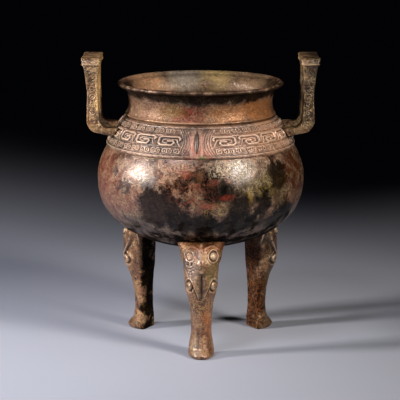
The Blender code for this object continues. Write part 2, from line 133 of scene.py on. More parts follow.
def srgb(code):
    """A colour for a shader, from its hex code as a screen shows it."""
    parts = [int(code[i:i + 2], 16) / 255 for i in (1, 3, 5)]
    linear = [c / 12.92 if c <= 0.04045 else ((c + 0.055) / 1.055) ** 2.4 for c in parts]
    return (*linear, 1.0)


def add(tree, kind, inputs=(), out=0, **settings):
    """Adds one node with its settings, links and values, and gives the socket that it sends on.

    A kind without the word Node is a shader node. The inputs come in order, or by name or number."""
    node = tree.nodes.new(kind if "Node" in kind else f"ShaderNode{kind}")
    for key, value in settings.items():
        setattr(node, key, value)
    for key, value in inputs.items() if isinstance(inputs, dict) else enumerate(inputs):
        if isinstance(value, bpy.types.NodeSocket):
            tree.links.new(value, node.inputs[key])
        else:
            node.inputs[key].default_value = value
    return node.outputs[out] if node.outputs else None


def linked(name, data):
    """A new object in the scene."""
    thing = bpy.data.objects.new(name, data)
    bpy.context.scene.collection.objects.link(thing)
    return thing


def through(stations, at, column=1):
    """Smooth values at places between stations (place, value, ...), without overshoot."""
    places = np.array([station[0] for station in stations], float)
    values = np.array([station[column] for station in stations], float)
    slopes = np.diff(values) / np.diff(places)
    together = slopes[:-1] * slopes[1:]
    total = slopes[:-1] + slopes[1:]
    middle = np.where(together > 0, 2 * together / np.where(total == 0, 1, total), 0.0)
    tangents = np.concatenate([slopes[:1], middle, slopes[-1:]])
    at = np.asarray(at, float)
    i = np.clip(np.searchsorted(places, at, side="right") - 1, 0, len(slopes) - 1)
    span = places[i + 1] - places[i]
    t = (at - places[i]) / span
    return (
        values[i] * (2 * t**3 - 3 * t**2 + 1)
        + tangents[i] * span * (t**3 - 2 * t**2 + t)
        + values[i + 1] * (3 * t**2 - 2 * t**3)
        + tangents[i + 1] * span * (t**3 - t**2)
    )


def smooth(value):
    """0 below 0, 1 above 1, and a soft step between."""
    t = np.clip(value, 0.0, 1.0)
    return t * t * (3 - 2 * t)


def window(value, low, high, fade):
    """1 between two limits, fading to 0 outside them."""
    return smooth((value - low) / fade + 0.5) * smooth((high - value) / fade + 0.5)


def bell(distance, width):
    """1 at no distance, and softly down to almost nothing at twice the width."""
    return np.exp(-((distance / width) ** 2))


def full_turn(count):
    """Even angles all round."""
    return np.linspace(0, 2 * math.pi, count, endpoint=False)


def turned(radius, height, angle):
    """Points at a radius and a height, turned by an angle about the Z axis."""
    return np.stack(np.broadcast_arrays(radius * np.cos(angle), radius * np.sin(angle), height), -1)


def arc(centre, radius, start, end, steps):
    """Points (x, z) on an arc, with angles in degrees from +x towards +z."""
    angles = np.radians(np.linspace(start, end, steps + 1))
    return np.stack([centre[0] + radius * np.cos(angles), centre[1] + radius * np.sin(angles)], 1)


def run_of(line):
    """How far along a line of points each of them lies."""
    return np.concatenate([[0], np.cumsum(np.linalg.norm(np.diff(line, axis=0), axis=1))])


def along(line, run, at):
    """Places on a line of points, from how far along it they lie."""
    return np.stack([np.interp(at, run, column) for column in line.T], -1)


def spaced(points, spacing):
    """A line of points set out again at an even spacing, with its ends kept."""
    points = np.asarray(points, float)
    run = run_of(points)
    return along(points, run, np.linspace(0, run[-1], max(2, int(round(run[-1] / spacing)) + 1)))


def roughened(points, *layers):
    """Small even lumps of a hand-finished casting, as offsets along the normals.

    layers: (lumps to a metre, depth in mm, seed) of each size of lump."""
    offsets = 0.0
    for scale, depth, seed in layers:
        shift = Vector((seed * 3.1, seed * 1.7, seed * 2.3))
        lumps = [noise.noise(Vector(point) * scale + shift) for point in points.reshape(-1, 3)]
        offsets = offsets + depth * MM * np.array(lumps)
    return offsets.reshape(points.shape[:2])


def grid_normals(points):
    """Normals of a grid of points (rows, columns, 3) whose columns close round."""
    across = np.roll(points, -1, 1) - np.roll(points, 1, 1)
    normals = np.cross(across, np.gradient(points, axis=0))
    length = np.linalg.norm(normals, axis=2, keepdims=True)
    return normals / np.where(length < 1e-12, 1, length)


def high_spots(relief, cells, scale):
    """How far each place stands out of its surroundings: 0 in a hollow, 0.5 level, 1 on a crest."""
    level = relief.copy()
    for _ in range(cells):
        level = (np.roll(level, 1, 1) + level + np.roll(level, -1, 1)) / 3
        padded = np.pad(level, ((1, 1), (0, 0)), mode="edge")
        level = (padded[:-2] + level + padded[2:]) / 3
    return np.clip(0.5 + 0.5 * (relief - level) / scale, 0, 1)


def grid_piece(name, points, material, wrap_rows=False, poles=(), caps=False, rise=None):
    """A mesh from a grid of points whose columns close round, with poles or caps at its end rows."""
    rows, columns = points.shape[:2]
    corners = points.reshape(-1, 3)
    index = np.arange(rows * columns).reshape(rows, columns)
    upper = np.roll(index, -1, 0) if wrap_rows else index[1:]
    lower = index if wrap_rows else index[:-1]
    quads = np.stack([lower, np.roll(lower, -1, 1), np.roll(upper, -1, 1), upper], -1).reshape(-1, 4)
    faces = quads.tolist()
    for row, pole in zip((0, -1), poles):
        ring, after = index[row], np.roll(index[row], -1)
        faces += [(int(a), int(b), len(corners)) for a, b in (zip(ring, after) if row else zip(after, ring))]
        corners = np.concatenate([corners, [pole]])
    if caps:
        faces += [index[0][::-1].tolist(), index[-1].tolist()]
    mesh = bpy.data.meshes.new(name)
    mesh.from_pydata(corners.tolist(), [], faces)
    mesh.materials.append(material)
    if rise is not None:
        mesh.attributes.new("rise", "FLOAT", "POINT").data.foreach_set("value", rise.ravel().astype("f"))
    mesh.shade_smooth()
    piece = linked(name, mesh)
    outwards(piece)
    return piece


def outwards(piece):
    """Turns every face of a closed piece to point out."""
    builder = bmesh.new()
    builder.from_mesh(piece.data)
    bmesh.ops.recalc_face_normals(builder, faces=builder.faces)
    builder.to_mesh(piece.data)
    builder.free()


def carried(piece):
    """Puts a finished piece on the casting's body."""
    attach(piece, BODY)
    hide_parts(NODE)
    return piece


def belly_under(steps, inset=0.0):
    """The bowl from its lowest point on the axis to its widest ring."""
    angles = np.linspace(0, math.pi / 2, steps + 1)
    radius = (BELLY_RADIUS - inset) * np.sin(angles) ** (2 / BELLY_SIDE_FULLNESS)
    drop = (BELLY_DEPTH - inset) * np.clip(np.cos(angles), 0, 1) ** (2 / BELLY_UNDER_FULLNESS)
    return np.stack([radius, BELLY_HEIGHT - drop], 1)


def belly_over(steps, inset=0.0):
    """The bowl from its widest ring to just under the band."""
    share = np.linspace(0, 1, steps + 1)[1:]
    foot = BAND_FOOT_RADIUS - BAND_STEP
    radius = BELLY_RADIUS - (BELLY_RADIUS - foot) * share**SHOULDER_FULLNESS
    return np.stack([radius - inset, BELLY_HEIGHT + BELLY_RISE * share], 1)


def belly_height_at(radius):
    """Height of the bowl's outer surface at a radius under its widest ring."""
    share = np.minimum(np.asarray(radius) / BELLY_RADIUS, 1.0) ** BELLY_SIDE_FULLNESS
    return BELLY_HEIGHT - BELLY_DEPTH * (1 - share) ** (1 / BELLY_UNDER_FULLNESS)


def bowl_radius_at(height):
    """Radius of the outer surface at a height, for placing a stain on it."""
    lower, upper = belly_under(200), belly_over(60)
    band = band_point(np.linspace(0, 1, 20))
    line = np.concatenate([lower, upper, band, neck_under_flare(20), neck_flare(30)])
    return float(np.interp(height, line[:, 1], line[:, 0]))


BAND_SLOPE = np.array([NECK_FOOT_RADIUS - BAND_FOOT_RADIUS, BAND_HEAD - BAND_FOOT])
BAND_LENGTH = float(np.linalg.norm(BAND_SLOPE))
BAND_OUT = np.array([BAND_SLOPE[1], -BAND_SLOPE[0]]) / BAND_LENGTH


def band_point(share, proud=0.0):
    """(radius, height) on the band, from 0 at its foot to 1 at its head, and proud of it."""
    share = np.asarray(share, float)
    bulge = 4 * BAND_BULGE * share * (1 - share) + proud
    foot = np.array([BAND_FOOT_RADIUS, BAND_FOOT])
    return foot + share[..., None] * BAND_SLOPE + bulge[..., None] * BAND_OUT


def neck_under_flare(steps):
    """The neck from its foot bead to its waist."""
    share = np.linspace(0, 1, steps + 1)
    start = BAND_HEAD + GROOVE_WIDTH + BEAD_WIDTH
    swell = NECK_FOOT_RADIUS - BEAD_HEIGHT - NECK_WAIST_RADIUS
    radius = NECK_WAIST_RADIUS + swell * (1 - share) ** NECK_FOOT_FULLNESS
    return np.stack([radius, start + (NECK_WAIST - start) * share], 1)


def neck_flare(steps):
    """The neck from its waist to the underside of the lip."""
    angles = np.linspace(0, math.pi / 2, steps + 1)[1:]
    rise = RIM_HEIGHT - LIP_THICKNESS - NECK_WAIST
    reach = RIM_RADIUS - LIP_THICKNESS / 2 - NECK_WAIST_RADIUS
    radius = NECK_WAIST_RADIUS + reach * (1 - np.cos(angles))
    return np.stack([radius, NECK_WAIST + rise * np.sin(angles)], 1)


def bowl_outline():
    """(radius, height) of the shell: up the outside, over the lip and down the inside."""
    half_lip, half_bead = LIP_THICKNESS / 2, BEAD_WIDTH / 2
    under_band = band_point(np.linspace(0, 1, 8), -1.9 * MM)
    groove = [(NECK_FOOT_RADIUS - GROOVE_DEPTH, BAND_HEAD + GROOVE_WIDTH / 2)]
    bead = (NECK_FOOT_RADIUS - BEAD_HEIGHT, BAND_HEAD + GROOVE_WIDTH + half_bead)
    edge = RIM_RADIUS - LIP_THICKNESS
    flare = neck_flare(24)
    outside = [
        spaced(np.concatenate([belly_under(160), belly_over(60)])[1:], 1.45 * MM),
        spaced(under_band, 5 * MM),
        spaced(np.concatenate([groove, arc(bead, half_bead, -60, 75, 6)]), 0.5 * MM),
        spaced(np.concatenate([neck_under_flare(16), flare]), 1.1 * MM)[1:],
        arc((RIM_RADIUS - half_lip, RIM_HEIGHT - half_lip), half_lip, -60, 90, 9),
    ]
    # The wall thins by a quarter up the neck, and its inside rises to meet the lip's top.
    climb = (flare[:, 1:] - NECK_WAIST) / (NECK_RISE - NECK_WAIST_RISE)
    inner_flare = flare + np.concatenate([-WALL * (1 - 0.25 * climb), WALL * 0.35 * climb], 1)
    lip_inside = [(edge + LIP_EDGE, RIM_HEIGHT), (edge, RIM_HEIGHT - LIP_EDGE * 0.5)]
    shoulder = band_point(np.linspace(0.95, 0.2, 8), -WALL - BAND_STEP * 0.6)
    inside = [
        spaced(np.concatenate([lip_inside, inner_flare[-3::-1]]), 1.2 * MM),
        spaced(np.concatenate([[(NECK_WAIST_RADIUS - WALL, NECK_WAIST)], shoulder]), 2.5 * MM)[1:],
        spaced(np.concatenate([belly_under(80, WALL), belly_over(20, WALL)])[1:], 3.2 * MM)[::-1],
    ]
    return np.concatenate(outside + inside)


def bowl(material):
    """The cast shell, whose skin waves slightly and never stands proud of the solid's."""
    outline = bowl_outline()
    points = turned(outline[:, :1], outline[:, 1:], full_turn(320))
    waves = roughened(points, (28, 0.35, 1), (90, 0.10, 2))
    points = points - grid_normals(points) * np.abs(waves)[..., None]
    poles = ((0, 0, BOWL_CLEARANCE), (0, 0, BOWL_CLEARANCE + WALL))
    return grid_piece("bowl_shell", points, material, poles=poles)


def distance_to(path, across, along):
    """Distance of points to an open line of points."""
    nearest = np.full(across.shape, np.inf)
    for (x0, y0), (x1, y1) in zip(path, path[1:]):
        dx, dy = x1 - x0, y1 - y0
        t = np.clip(((across - x0) * dx + (along - y0) * dy) / (dx * dx + dy * dy), 0, 1)
        nearest = np.minimum(nearest, np.hypot(across - x0 - t * dx, along - y0 - t * dy))
    return nearest


def ridge(distance, width, height, edge=0.3):
    """Height of a flat-topped bar round a line, in millimetres."""
    return height * smooth((width / 2 + edge / 2 - distance) / edge)


# Registers of the band in millimetres above its foot, the depth of its sunk ground, and the bold hooks
# in its middle row as (distance from the flange to the hook's middle, half its length). A hook's lines
# are in shares of its half sizes. A coil's line, its spread in size and the step to the next coil are in
# shares of its size, its spread in turn is in radians, and its gap from the flange is in millimetres.
BAND_MM = BAND_LENGTH / MM
GROUND = 0.55
REGISTER_LINES = (2.2, 12.2, 23.6, 32.6)
LOWER_COILS, UPPER_COILS = 7.2, 28.1
HOOKS = ((27.0, 11.0), (53.5, 11.0), (79.0, 10.0), (102.0, 8.5))
HOOK_ROW, HOOK_HALF = 17.6, 4.4
HOOK_OUTLINE = (
    (-0.15, -0.1), (0.35, 0.0), (0.45, -0.45), (0.25, -1.0), (-0.75, -1.0), (-1.0, -0.6),
    (-1.0, 0.6), (-0.75, 1.0), (0.85, 1.0), (1.0, 0.6), (0.95, 0.25),
)
HOOK_BAR = (
    (0.95, -0.95), (0.78, -0.35), (0.72, 0.35), (-0.35, 0.42), (-0.62, 0.2), (-0.62, -0.35), (-0.2, -0.55),
)
FLANGE_ARCS = (5.6, 8.2, 10.8, 13.2)
COIL_PATH = (
    (-0.02, 0.14), (0.22, 0.16), (0.30, -0.02), (0.24, -0.36), (-0.36, -0.40), (-0.50, -0.26),
    (-0.52, 0.52), (-0.40, 0.66), (0.74, 0.68), (0.88, 0.54), (0.90, -0.72), (-0.30, -0.86),
)
COIL_SKEW, COIL_SIZES, COIL_PITCH = (-0.16, 0.16), (0.93, 1.05), 1.98
COIL_GAP = 18.5


def hook_paths(centre, half):
    """A squared C, open towards the flange, that curls back into itself, and the bar it curls round."""
    return [
        [(centre - x * half, HOOK_ROW + y * HOOK_HALF) for x, y in path] for path in (HOOK_OUTLINE, HOOK_BAR)
    ]


def band_relief(away, up):
    """Height of the ornament in millimetres at a distance from the flange and above the foot."""
    foot, *between, head = REGISTER_LINES
    ground = -GROUND * window(up, foot, head, 0.8) * smooth((away - 3.5) / 3)
    lines = np.maximum(ridge(np.abs(up - foot), 1.1, 0.9), ridge(np.abs(up - head), 1.0, 0.8))
    beside = smooth(away - 14.5)
    for line in between:
        lines = np.maximum(lines, beside * ridge(np.abs(up - line), 0.8, 0.75))
    for number, start in enumerate(FLANGE_ARCS):
        bow = start + 4.6 * ((up - 17.0) / 13) ** 2
        line = ridge(np.abs(away - bow), 0.85, 0.45 + 0.1 * number, 0.5) * window(up, 4.0, 31, 1.5)
        lines = np.maximum(lines, line)
    for centre, half in HOOKS:
        near = np.abs(away - centre) < half + 3
        for path, width, height in zip(hook_paths(centre, half), (1.9, 1.1), (1.55, 1.0)):
            distance = np.where(near, distance_to(path, away, up), 99.0)
            lines = np.maximum(lines, ridge(distance, width, height, 0.6))
    return np.maximum(ground, lines - GROUND)


def ornament_band(material):
    """The raised ring on the shoulder with its frames, arcs and hooks."""
    rows_up = np.concatenate([[0, 0.25, 0.5], np.arange(0.9, BAND_MM - 0.6, 0.5), [BAND_MM - 0.4, BAND_MM]])
    angles = full_turn(1040)
    from_flange = (angles - math.pi / 2 - BAND_TURN) % math.pi
    from_flange = np.minimum(from_flange, math.pi - from_flange)
    up, away = np.broadcast_arrays(rows_up[:, None], from_flange * (band_point(0.5)[0] / MM))
    relief = band_relief(away, up) * MM
    relief = relief * smooth((up - 0.2) / 0.6) * smooth((BAND_MM - 0.2 - up) / 0.6)
    edge = -0.7 * MM * (1 - smooth(up / 0.8)) - 0.9 * MM * (1 - smooth((BAND_MM - up) / 0.8))
    place = band_point(up / BAND_MM, relief + edge)
    points = turned(place[..., 0], place[..., 1], angles)
    lumps = roughened(points, (260, 0.20, 5), (520, 0.13, 15))
    points = points + grid_normals(points) * (lumps - 0.05 * MM)[..., None]
    hidden = band_point(np.array([0.97, 0.03]), -2.6 * MM)
    points = np.concatenate([points, turned(hidden[:, :1], hidden[:, 1:], angles)])
    standing = high_spots(relief / MM + lumps / MM, 6, 0.8)
    standing = 0.55 * standing + 0.45 * np.clip(relief / MM + GROUND, 0, 1)
    rise = np.concatenate([standing, np.full((2, len(angles)), 0.5)])
    return grid_piece("ornament_band", points, material, wrap_rows=True, rise=rise)


def coil_unit():
    """One squared spiral, two units wide: a low ridge with sloping sides."""
    width, height, bury = 0.30, 0.36, 0.14
    slope = height * 0.45
    profile = ((-1, -bury), (-1, slope), (-0.5, height), (0.5, height), (1, slope), (1, -bury))
    builder = bmesh.new()
    sections = []
    runs = [(Vector(after) - Vector(here)).normalized() for here, after in zip(COIL_PATH, COIL_PATH[1:])]
    for (x, y), run_in, run_out in zip(COIL_PATH, [runs[0], *runs], [*runs, runs[-1]]):
        run = (run_in + run_out).normalized()
        out = Vector((-run.y, run.x)) * (width / 2 / max(run.dot(run_in), 0.5))
        sections.append([builder.verts.new((x + s * out.x, y + s * out.y, z)) for s, z in profile])
    for low, high in zip(sections, sections[1:]):
        for i in range(len(low)):
            j = (i + 1) % len(low)
            builder.faces.new((low[i], low[j], high[j], high[i]))
    builder.faces.new(sections[0])
    builder.faces.new(sections[-1])
    bmesh.ops.recalc_face_normals(builder, faces=builder.faces)
    mesh = bpy.data.meshes.new("coil_unit")
    builder.to_mesh(mesh)
    builder.free()
    rise = [min(max(0.25 + 0.75 * corner.co.z / height, 0.1), 1.0) for corner in mesh.vertices]
    mesh.attributes.new("rise", "FLOAT", "POINT").data.foreach_set("value", rise)
    return bpy.data.objects.new("coil_unit", mesh)


def coil_row_tree():
    """Sets one coil after another round the band, clear of both flanges, every other one turned."""
    tree = bpy.data.node_groups.new("coil_row", "GeometryNodeTree")
    kinds = {"Coil": "Object", "Count": "Int", "Seed": "Int", "Finish": "Material"}
    sizes = ("Row radius", "Row height", "Face tilt", "Coil size", "Flange gap", "Flange turn")
    for name in (*kinds, *sizes):
        tree.interface.new_socket(name, in_out="INPUT", socket_type=f"NodeSocket{kinds.get(name, 'Float')}")
    tree.interface.new_socket("Coils", in_out="OUTPUT", socket_type="NodeSocketGeometry")
    given = add(tree, "NodeGroupInput").node.outputs
    ring = add(tree, "GeometryNodeMeshCircle", {"Vertices": given["Count"], "Radius": given["Row radius"]})
    lift = add(tree, "CombineXYZ", {"Z": given["Row height"]})
    ring = add(tree, "GeometryNodeTransform", {"Geometry": ring, "Translation": lift})
    place = add(tree, "SeparateXYZ", [add(tree, "GeometryNodeInputPosition")]).node.outputs
    # How far each place lies beside the line through both flanges.
    cosine = add(tree, "Math", [given["Flange turn"]], operation="COSINE")
    sine = add(tree, "Math", [given["Flange turn"]], operation="SINE")
    side = add(tree, "Math", [place[0], cosine], operation="MULTIPLY")
    side = add(tree, "Math", [place[1], sine, side], operation="MULTIPLY_ADD")
    side = add(tree, "Math", [side], operation="ABSOLUTE")
    near = add(tree, "FunctionNodeCompare", [side, given["Flange gap"]], operation="LESS_THAN")
    ring = add(tree, "GeometryNodeDeleteGeometry", {"Geometry": ring, "Selection": near})
    # A coil's x runs round the band, and its z stands out of the band's face.
    back_y = add(tree, "Math", [place[1], -1.0], operation="MULTIPLY")
    tangent = add(tree, "CombineXYZ", [back_y, place[0]])
    slope = add(tree, "Math", [given["Face tilt"]], operation="TANGENT")
    up = add(tree, "Math", [slope, given["Row radius"]], operation="MULTIPLY")
    outward = add(tree, "CombineXYZ", [place[0], place[1], up])
    turn = add(tree, "FunctionNodeAlignRotationToVector", {"Vector": tangent}, axis="X")
    faced = {"Rotation": turn, "Vector": outward}
    turn = add(tree, "FunctionNodeAlignRotationToVector", faced, axis="Z", pivot_axis="X")
    # No two coils stand or measure quite the same.
    odd = add(tree, "Math", [add(tree, "GeometryNodeInputIndex"), 2.0], operation="MODULO")
    half_turn = add(tree, "Math", [odd, math.pi], operation="MULTIPLY")
    skew, vary = [
        add(tree, "FunctionNodeRandomValue", {2: low, 3: high, "Seed": given["Seed"]}, 1, data_type="FLOAT")
        for low, high in (COIL_SKEW, COIL_SIZES)
    ]
    spin = add(tree, "Math", [half_turn, skew], operation="ADD")
    spin = add(tree, "FunctionNodeEulerToRotation", [add(tree, "CombineXYZ", {"Z": spin})])
    spun = {"Rotation": turn, "Rotate By": spin}
    turn = add(tree, "FunctionNodeRotateRotation", spun, rotation_space="LOCAL")
    size = add(tree, "Math", [given["Coil size"], vary], operation="MULTIPLY")
    held = {"Object": given["Coil"], "As Instance": True}
    unit = add(tree, "GeometryNodeObjectInfo", held, out="Geometry")
    spread = {"Points": ring, "Instance": unit, "Rotation": turn, "Scale": size}
    coils = add(tree, "GeometryNodeInstanceOnPoints", spread)
    coils = add(tree, "GeometryNodeRealizeInstances", [coils])
    coils = add(tree, "GeometryNodeSetMaterial", {"Geometry": coils, "Material": given["Finish"]})
    add(tree, "NodeGroupOutput", [coils])
    return tree


def coil_row(name, tree, unit, up, coil_mm, seed, material):
    """A row of spirals on the band, at a height above its foot in millimetres."""
    share = up / BAND_MM
    radius, height = band_point(share, -0.5 * MM)
    values = {
        "Coil": unit,
        "Count": 2 * int(math.pi * radius / (coil_mm * COIL_PITCH * MM)),
        "Row radius": float(radius),
        "Row height": float(height),
        "Face tilt": math.atan2(BAND_OUT[1], BAND_OUT[0]) + 4 * BAND_BULGE / BAND_LENGTH * (2 * share - 1),
        "Coil size": coil_mm * MM,
        "Flange gap": COIL_GAP * MM,
        "Flange turn": BAND_TURN,
        "Seed": seed,
        "Finish": material,
    }
    base = linked(f"{name}_base", bpy.data.meshes.new(f"{name}_base"))
    rule = base.modifiers.new("coils", "NODES")
    rule.node_group = tree
    for socket in tree.interface.items_tree:
        if socket.in_out == "INPUT":
            rule[socket.identifier] = values[socket.name]
    graph = bpy.context.evaluated_depsgraph_get()
    mesh = bpy.data.meshes.new_from_object(base.evaluated_get(graph))
    bpy.data.objects.remove(base)
    mesh.name = name
    mesh.shade_flat()
    return linked(name, mesh)


def flange(name, facing, material):
    """An upright almond with a sharp crest, whose back lies in the band."""
    place = np.linspace(-1, 1, 49)[:, None]
    across, proud = np.sin(full_turn(20)), np.cos(full_turn(20))
    swell = np.clip(1 - place * place, 0, None) ** 0.8
    crest = FLANGE_RISE * swell * np.clip(proud, 0, None) ** 1.4
    lift = np.where(proud > 0, crest, 1.2 * MM * proud) - 0.2 * MM
    line = band_point(0.5 + place * (FLANGE_LENGTH / 2 / BAND_LENGTH), lift)
    angle = facing + across * (FLANGE_WIDTH / 2 * swell + 0.1 * MM) / band_point(0.5)[0]
    return grid_piece(name, turned(line[..., 0], line[..., 1], angle), material, caps=True)


def neck_seam(name, facing, material):
    """A fine raised seam up the neck, where the mould's sections met."""
    line = spaced(np.concatenate([neck_under_flare(16), neck_flare(24)[:14]]), 1.0 * MM)
    step = np.arange(len(line))[:, None]
    waver = 0.35 * MM * np.sin(step * 0.9) + 0.3 * MM * np.sin(step * 0.37)
    thick = 0.5 * MM * smooth(np.minimum(step, step[::-1]) / 4)
    angle = facing + (waver + thick * np.sin(full_turn(10))) / line[:, :1]
    radius = line[:, :1] + thick * np.cos(full_turn(10))
    return grid_piece(name, turned(radius, line[:, 1:], angle), material, caps=True)


LEG_HEIGHT = float(belly_height_at(LEG_BACK_RADIUS + LEG_STATIONS[-1][1])) + LEG_BURY


# Features of the mask: (share of the leg's height, offset, boss radius, rise, stretch), in millimetres.
EYES = (0.882, 11.0, 2.9, 2.6, 1.25)
CURLS = (0.635, 11.4, 2.6, 2.6, 1.75)
RING_GAP, RING_WIDTH, RING_RISE = 0.9, 1.3, 0.75
# Half the face's width by height, broad at the brow and narrow at the muzzle, and the brow's line.
FACE_HALF = ((58, 1.0), (64, 3.2), (71, 6.0), (78, 8.2), (85, 12.5), (94, 16.5), (104, 19.5), (120, 24))
BROW = ((3.6, 111.5), (8, 113.5), (13, 113), (17.5, 109), (18.8, 103), (17.4, 97.5))
# The muzzle's cleft, the nose's ridge and the folds beside the cleft, as (rise, distance from the middle,
# width, foot, head, fade) in millimetres.
FACE_LINES = ((-1.9, 0, 1.6, 61, 89, 5), (2.0, 0, 2.6, 88, 116, 6), (0.8, 3.6, 2.2, 65, 86, 4))


def boss_relief(points, side, feature):
    """A domed boss in a raised ring, laid out as seen from the front, in millimetres."""
    share, offset, radius, rise, stretch = feature
    aside = points[..., 1] / MM - side * offset
    height = (points[..., 2] - share * LEG_HEIGHT) / MM
    distance = np.hypot(aside, height / stretch)
    dome = rise * np.sqrt(np.clip(1 - (distance / radius) ** 2, 0, 1))
    ring = RING_RISE * bell(distance - radius - RING_GAP - RING_WIDTH / 2, RING_WIDTH * 0.42)
    moat = -0.9 * bell(distance - radius - RING_GAP * 0.4, 0.55)
    return dome + ring + moat


def leg_relief(points, number):
    """Height of the mask and the lines on a leg, in millimetres."""
    aside, height = np.abs(points[..., 1]) / MM, points[..., 2] / MM
    face_half = through(FACE_HALF, height)
    face = smooth((face_half - aside) / 1.1 + 0.5) * window(height, 61, 124, 3)
    relief = 1.4 * face * smooth((height - 60) / 18)
    relief -= 1.4 * bell(np.abs(aside - face_half - 0.8), 0.9) * window(height, 64, 112, 4)
    for rise, offset, width, low, high, fade in FACE_LINES:
        relief += rise * bell(aside - offset, width) * window(height, low, high, fade)
    relief += ridge(distance_to(BROW, aside, height), 1.4, 0.55, 0.9)
    for step in range(4):
        slant = np.abs(height - (46 + 3.4 * step) - 1.5 * aside) / 1.8
        inside = smooth(7.5 - aside) * smooth((63 - height) / 1.5)
        relief -= 0.5 * bell(slant, 0.42) * inside
    for step in range(4):
        lash = np.abs(height + 1.15 * aside - 62 - 3.3 * step) / 1.52
        relief -= 0.42 * bell(lash, 0.4) * window(height, 46, 68, 3) * smooth(aside - 7.2)
    relief += 1.3 * np.clip(1 - aside / 2.2, 0, 1) * window(height, 5, 44, 5)
    for side in (-1, 1):
        # The front mask's left eye is worn down and pitted.
        left = 0.4 if (number, side) == (0, -1) else 1.0
        relief += left * boss_relief(points, side, EYES) + boss_relief(points, side, CURLS)
    if number == 0:
        chance = np.random.default_rng(31)
        for _ in range(26):
            y, z = chance.normal(-EYES[1], 2.6), chance.normal(96, 4.5)
            away = np.hypot(points[..., 1] / MM - y, height - z)
            relief -= chance.uniform(0.8, 1.2) * bell(away, chance.uniform(0.45, 0.8))
    return relief


def leg(number, material):
    """A leg with a flat back, a round masked front and a hoof, as a fine skin over the solid."""
    heights = np.concatenate([[0, 0.3, 0.8], np.arange(1.4, LEG_HEIGHT / MM, 0.55), [LEG_HEIGHT / MM]]) * MM
    angles = np.radians(np.linspace(-90, 90, 121))
    rows = []
    for height in heights:
        share = height / LEG_HEIGHT
        half, reach = through(LEG_STATIONS, share, 2) / 2, through(LEG_STATIONS, share) - LEG_SIDE
        behind = half * LEG_BACK_SHARE
        trim = SOLE_EDGE * (1 - smooth(height / (1.5 * SOLE_EDGE)))
        front = np.stack([LEG_SIDE + (reach - trim) * np.cos(angles), (half - trim) * np.sin(angles)], 1)
        back = np.stack([np.zeros(25), np.linspace(behind, -behind, 25)], 1)
        left = np.linspace((0, -behind), (LEG_SIDE, trim - half), 6)[1:-1]
        ring = np.concatenate([front, left[::-1] * (1, -1), back, left])
        # The two edges behind are rounded by hand, so each point there goes to the middle of its neighbours.
        first = len(front)
        for _ in range(5):
            after = np.concatenate([ring[first + 1:], ring[:1]])
            ring[first:] = (ring[first - 1:-1] + ring[first:] + after) / 3
        rows.append(np.column_stack([ring[:, 0] + LEG_BACK_RADIUS, ring[:, 1], np.full(len(ring), height)]))
    points = np.array(rows)
    relief = leg_relief(points, number) * smooth((points[..., 0] - LEG_BACK_RADIUS) / LEG_SIDE)
    lumps = roughened(points, (70, 0.25, number), (300, 0.12, number + 9))
    lift = smooth(points[..., 2] / (2 * MM)) * (relief * MM * 0.92 - 0.1 * MM + lumps)
    points = points + grid_normals(points) * lift[..., None]
    buried = belly_height_at(np.hypot(points[..., 0], points[..., 1])) + 0.5 * WALL
    points[..., 2] = np.clip(np.minimum(points[..., 2], buried), 0, None)
    standing = high_spots(relief + lumps / MM, 8, 0.7)
    piece = grid_piece(f"leg_{number + 1}", points, material, caps=True, rise=standing)
    facing = -math.pi / 2 + LEG_TURN + 2 * math.pi * number / LEG_COUNT
    piece.data.transform(Matrix.Rotation(facing, 4, "Z"))
    return piece


def ear_lines():
    """The strap's inner and outer line (x, z) from its root in the band to its crown, in pairs."""
    foot_top, foot_base = band_point(EAR_FOOT_TOP), band_point(EAR_FOOT_BASE)
    waist = (foot_top[1] + EAR_TOP) / 2
    outer = EAR_INNER + EAR_WAIST
    crown = EAR_INNER - EAR_LEAN * 2.5
    fillet = (EAR_INNER - EAR_LEAN - EAR_FILLET, foot_top[1] + EAR_FILLET)
    knee = (outer - EAR_KNEE_INSET, foot_top[1] + EAR_KNEE_RISE)
    inner_stations = ((waist, EAR_INNER), (EAR_TOP - EAR_CROWN * 0.9, EAR_INNER), (EAR_TOP, crown))
    outer_stations = (
        (waist, outer - EAR_LEAN * 0.3),
        (EAR_TOP - EAR_CROWN * 1.2, outer + EAR_LEAN),
        (EAR_TOP - EAR_CROWN * 0.7, outer + EAR_LEAN * 2.2),
        (EAR_TOP, crown + EAR_CROWN),
    )
    lines = []
    for foot, bend, stations in (
        (foot_top, arc(fillet, EAR_FILLET, -88, -5, 14), inner_stations),
        (foot_base, arc(knee, EAR_KNEE_RADIUS, -62, -8, 14), outer_stations),
    ):
        root = np.linspace((foot[0] - 0.6 * WALL, foot[1]), bend[0], 9)[:-1]
        x, z = bend[-1]
        up = z + (EAR_TOP - z) * np.linspace(0, 1, 90)[1:]
        strap = np.stack([through(((z, x), *stations), up), up], 1)
        lines.append(np.concatenate([root, bend, strap]))
    return lines


def arch_lines(length):
    """Outer and inner edge (y, place along the strap) of the arch, in pairs, from foot to foot."""
    half, inside = EAR_WIDTH / 2, EAR_WIDTH / 2 - EAR_BAR
    spring = length - EAR_CROWN_BAR - EAR_ARCH
    corner = arc((-half + EAR_CORNER, length - EAR_CORNER), EAR_CORNER, 180, 90, 24)
    shoulder = np.concatenate([[(-half, spring)], corner, [(-inside + EAR_ARCH, length)]])
    shoulder = spaced(shoulder, run_of(shoulder)[-1] / 40)
    arch = arc((-inside + EAR_ARCH, spring), EAR_ARCH, 180, 90, len(shoulder) - 1)
    edges = []
    for side, bend, top in ((half, shoulder, length), (inside, arch, length - EAR_CROWN_BAR)):
        foot = np.linspace((-side, 0), (-side, spring), 120)
        across = np.linspace((-inside + EAR_ARCH, top), (0, top), 12)[1:]
        edge = np.concatenate([foot, bend[1:], across])
        edges.append(np.concatenate([edge, edge[-2::-1] * (-1, 1)]))
    return edges


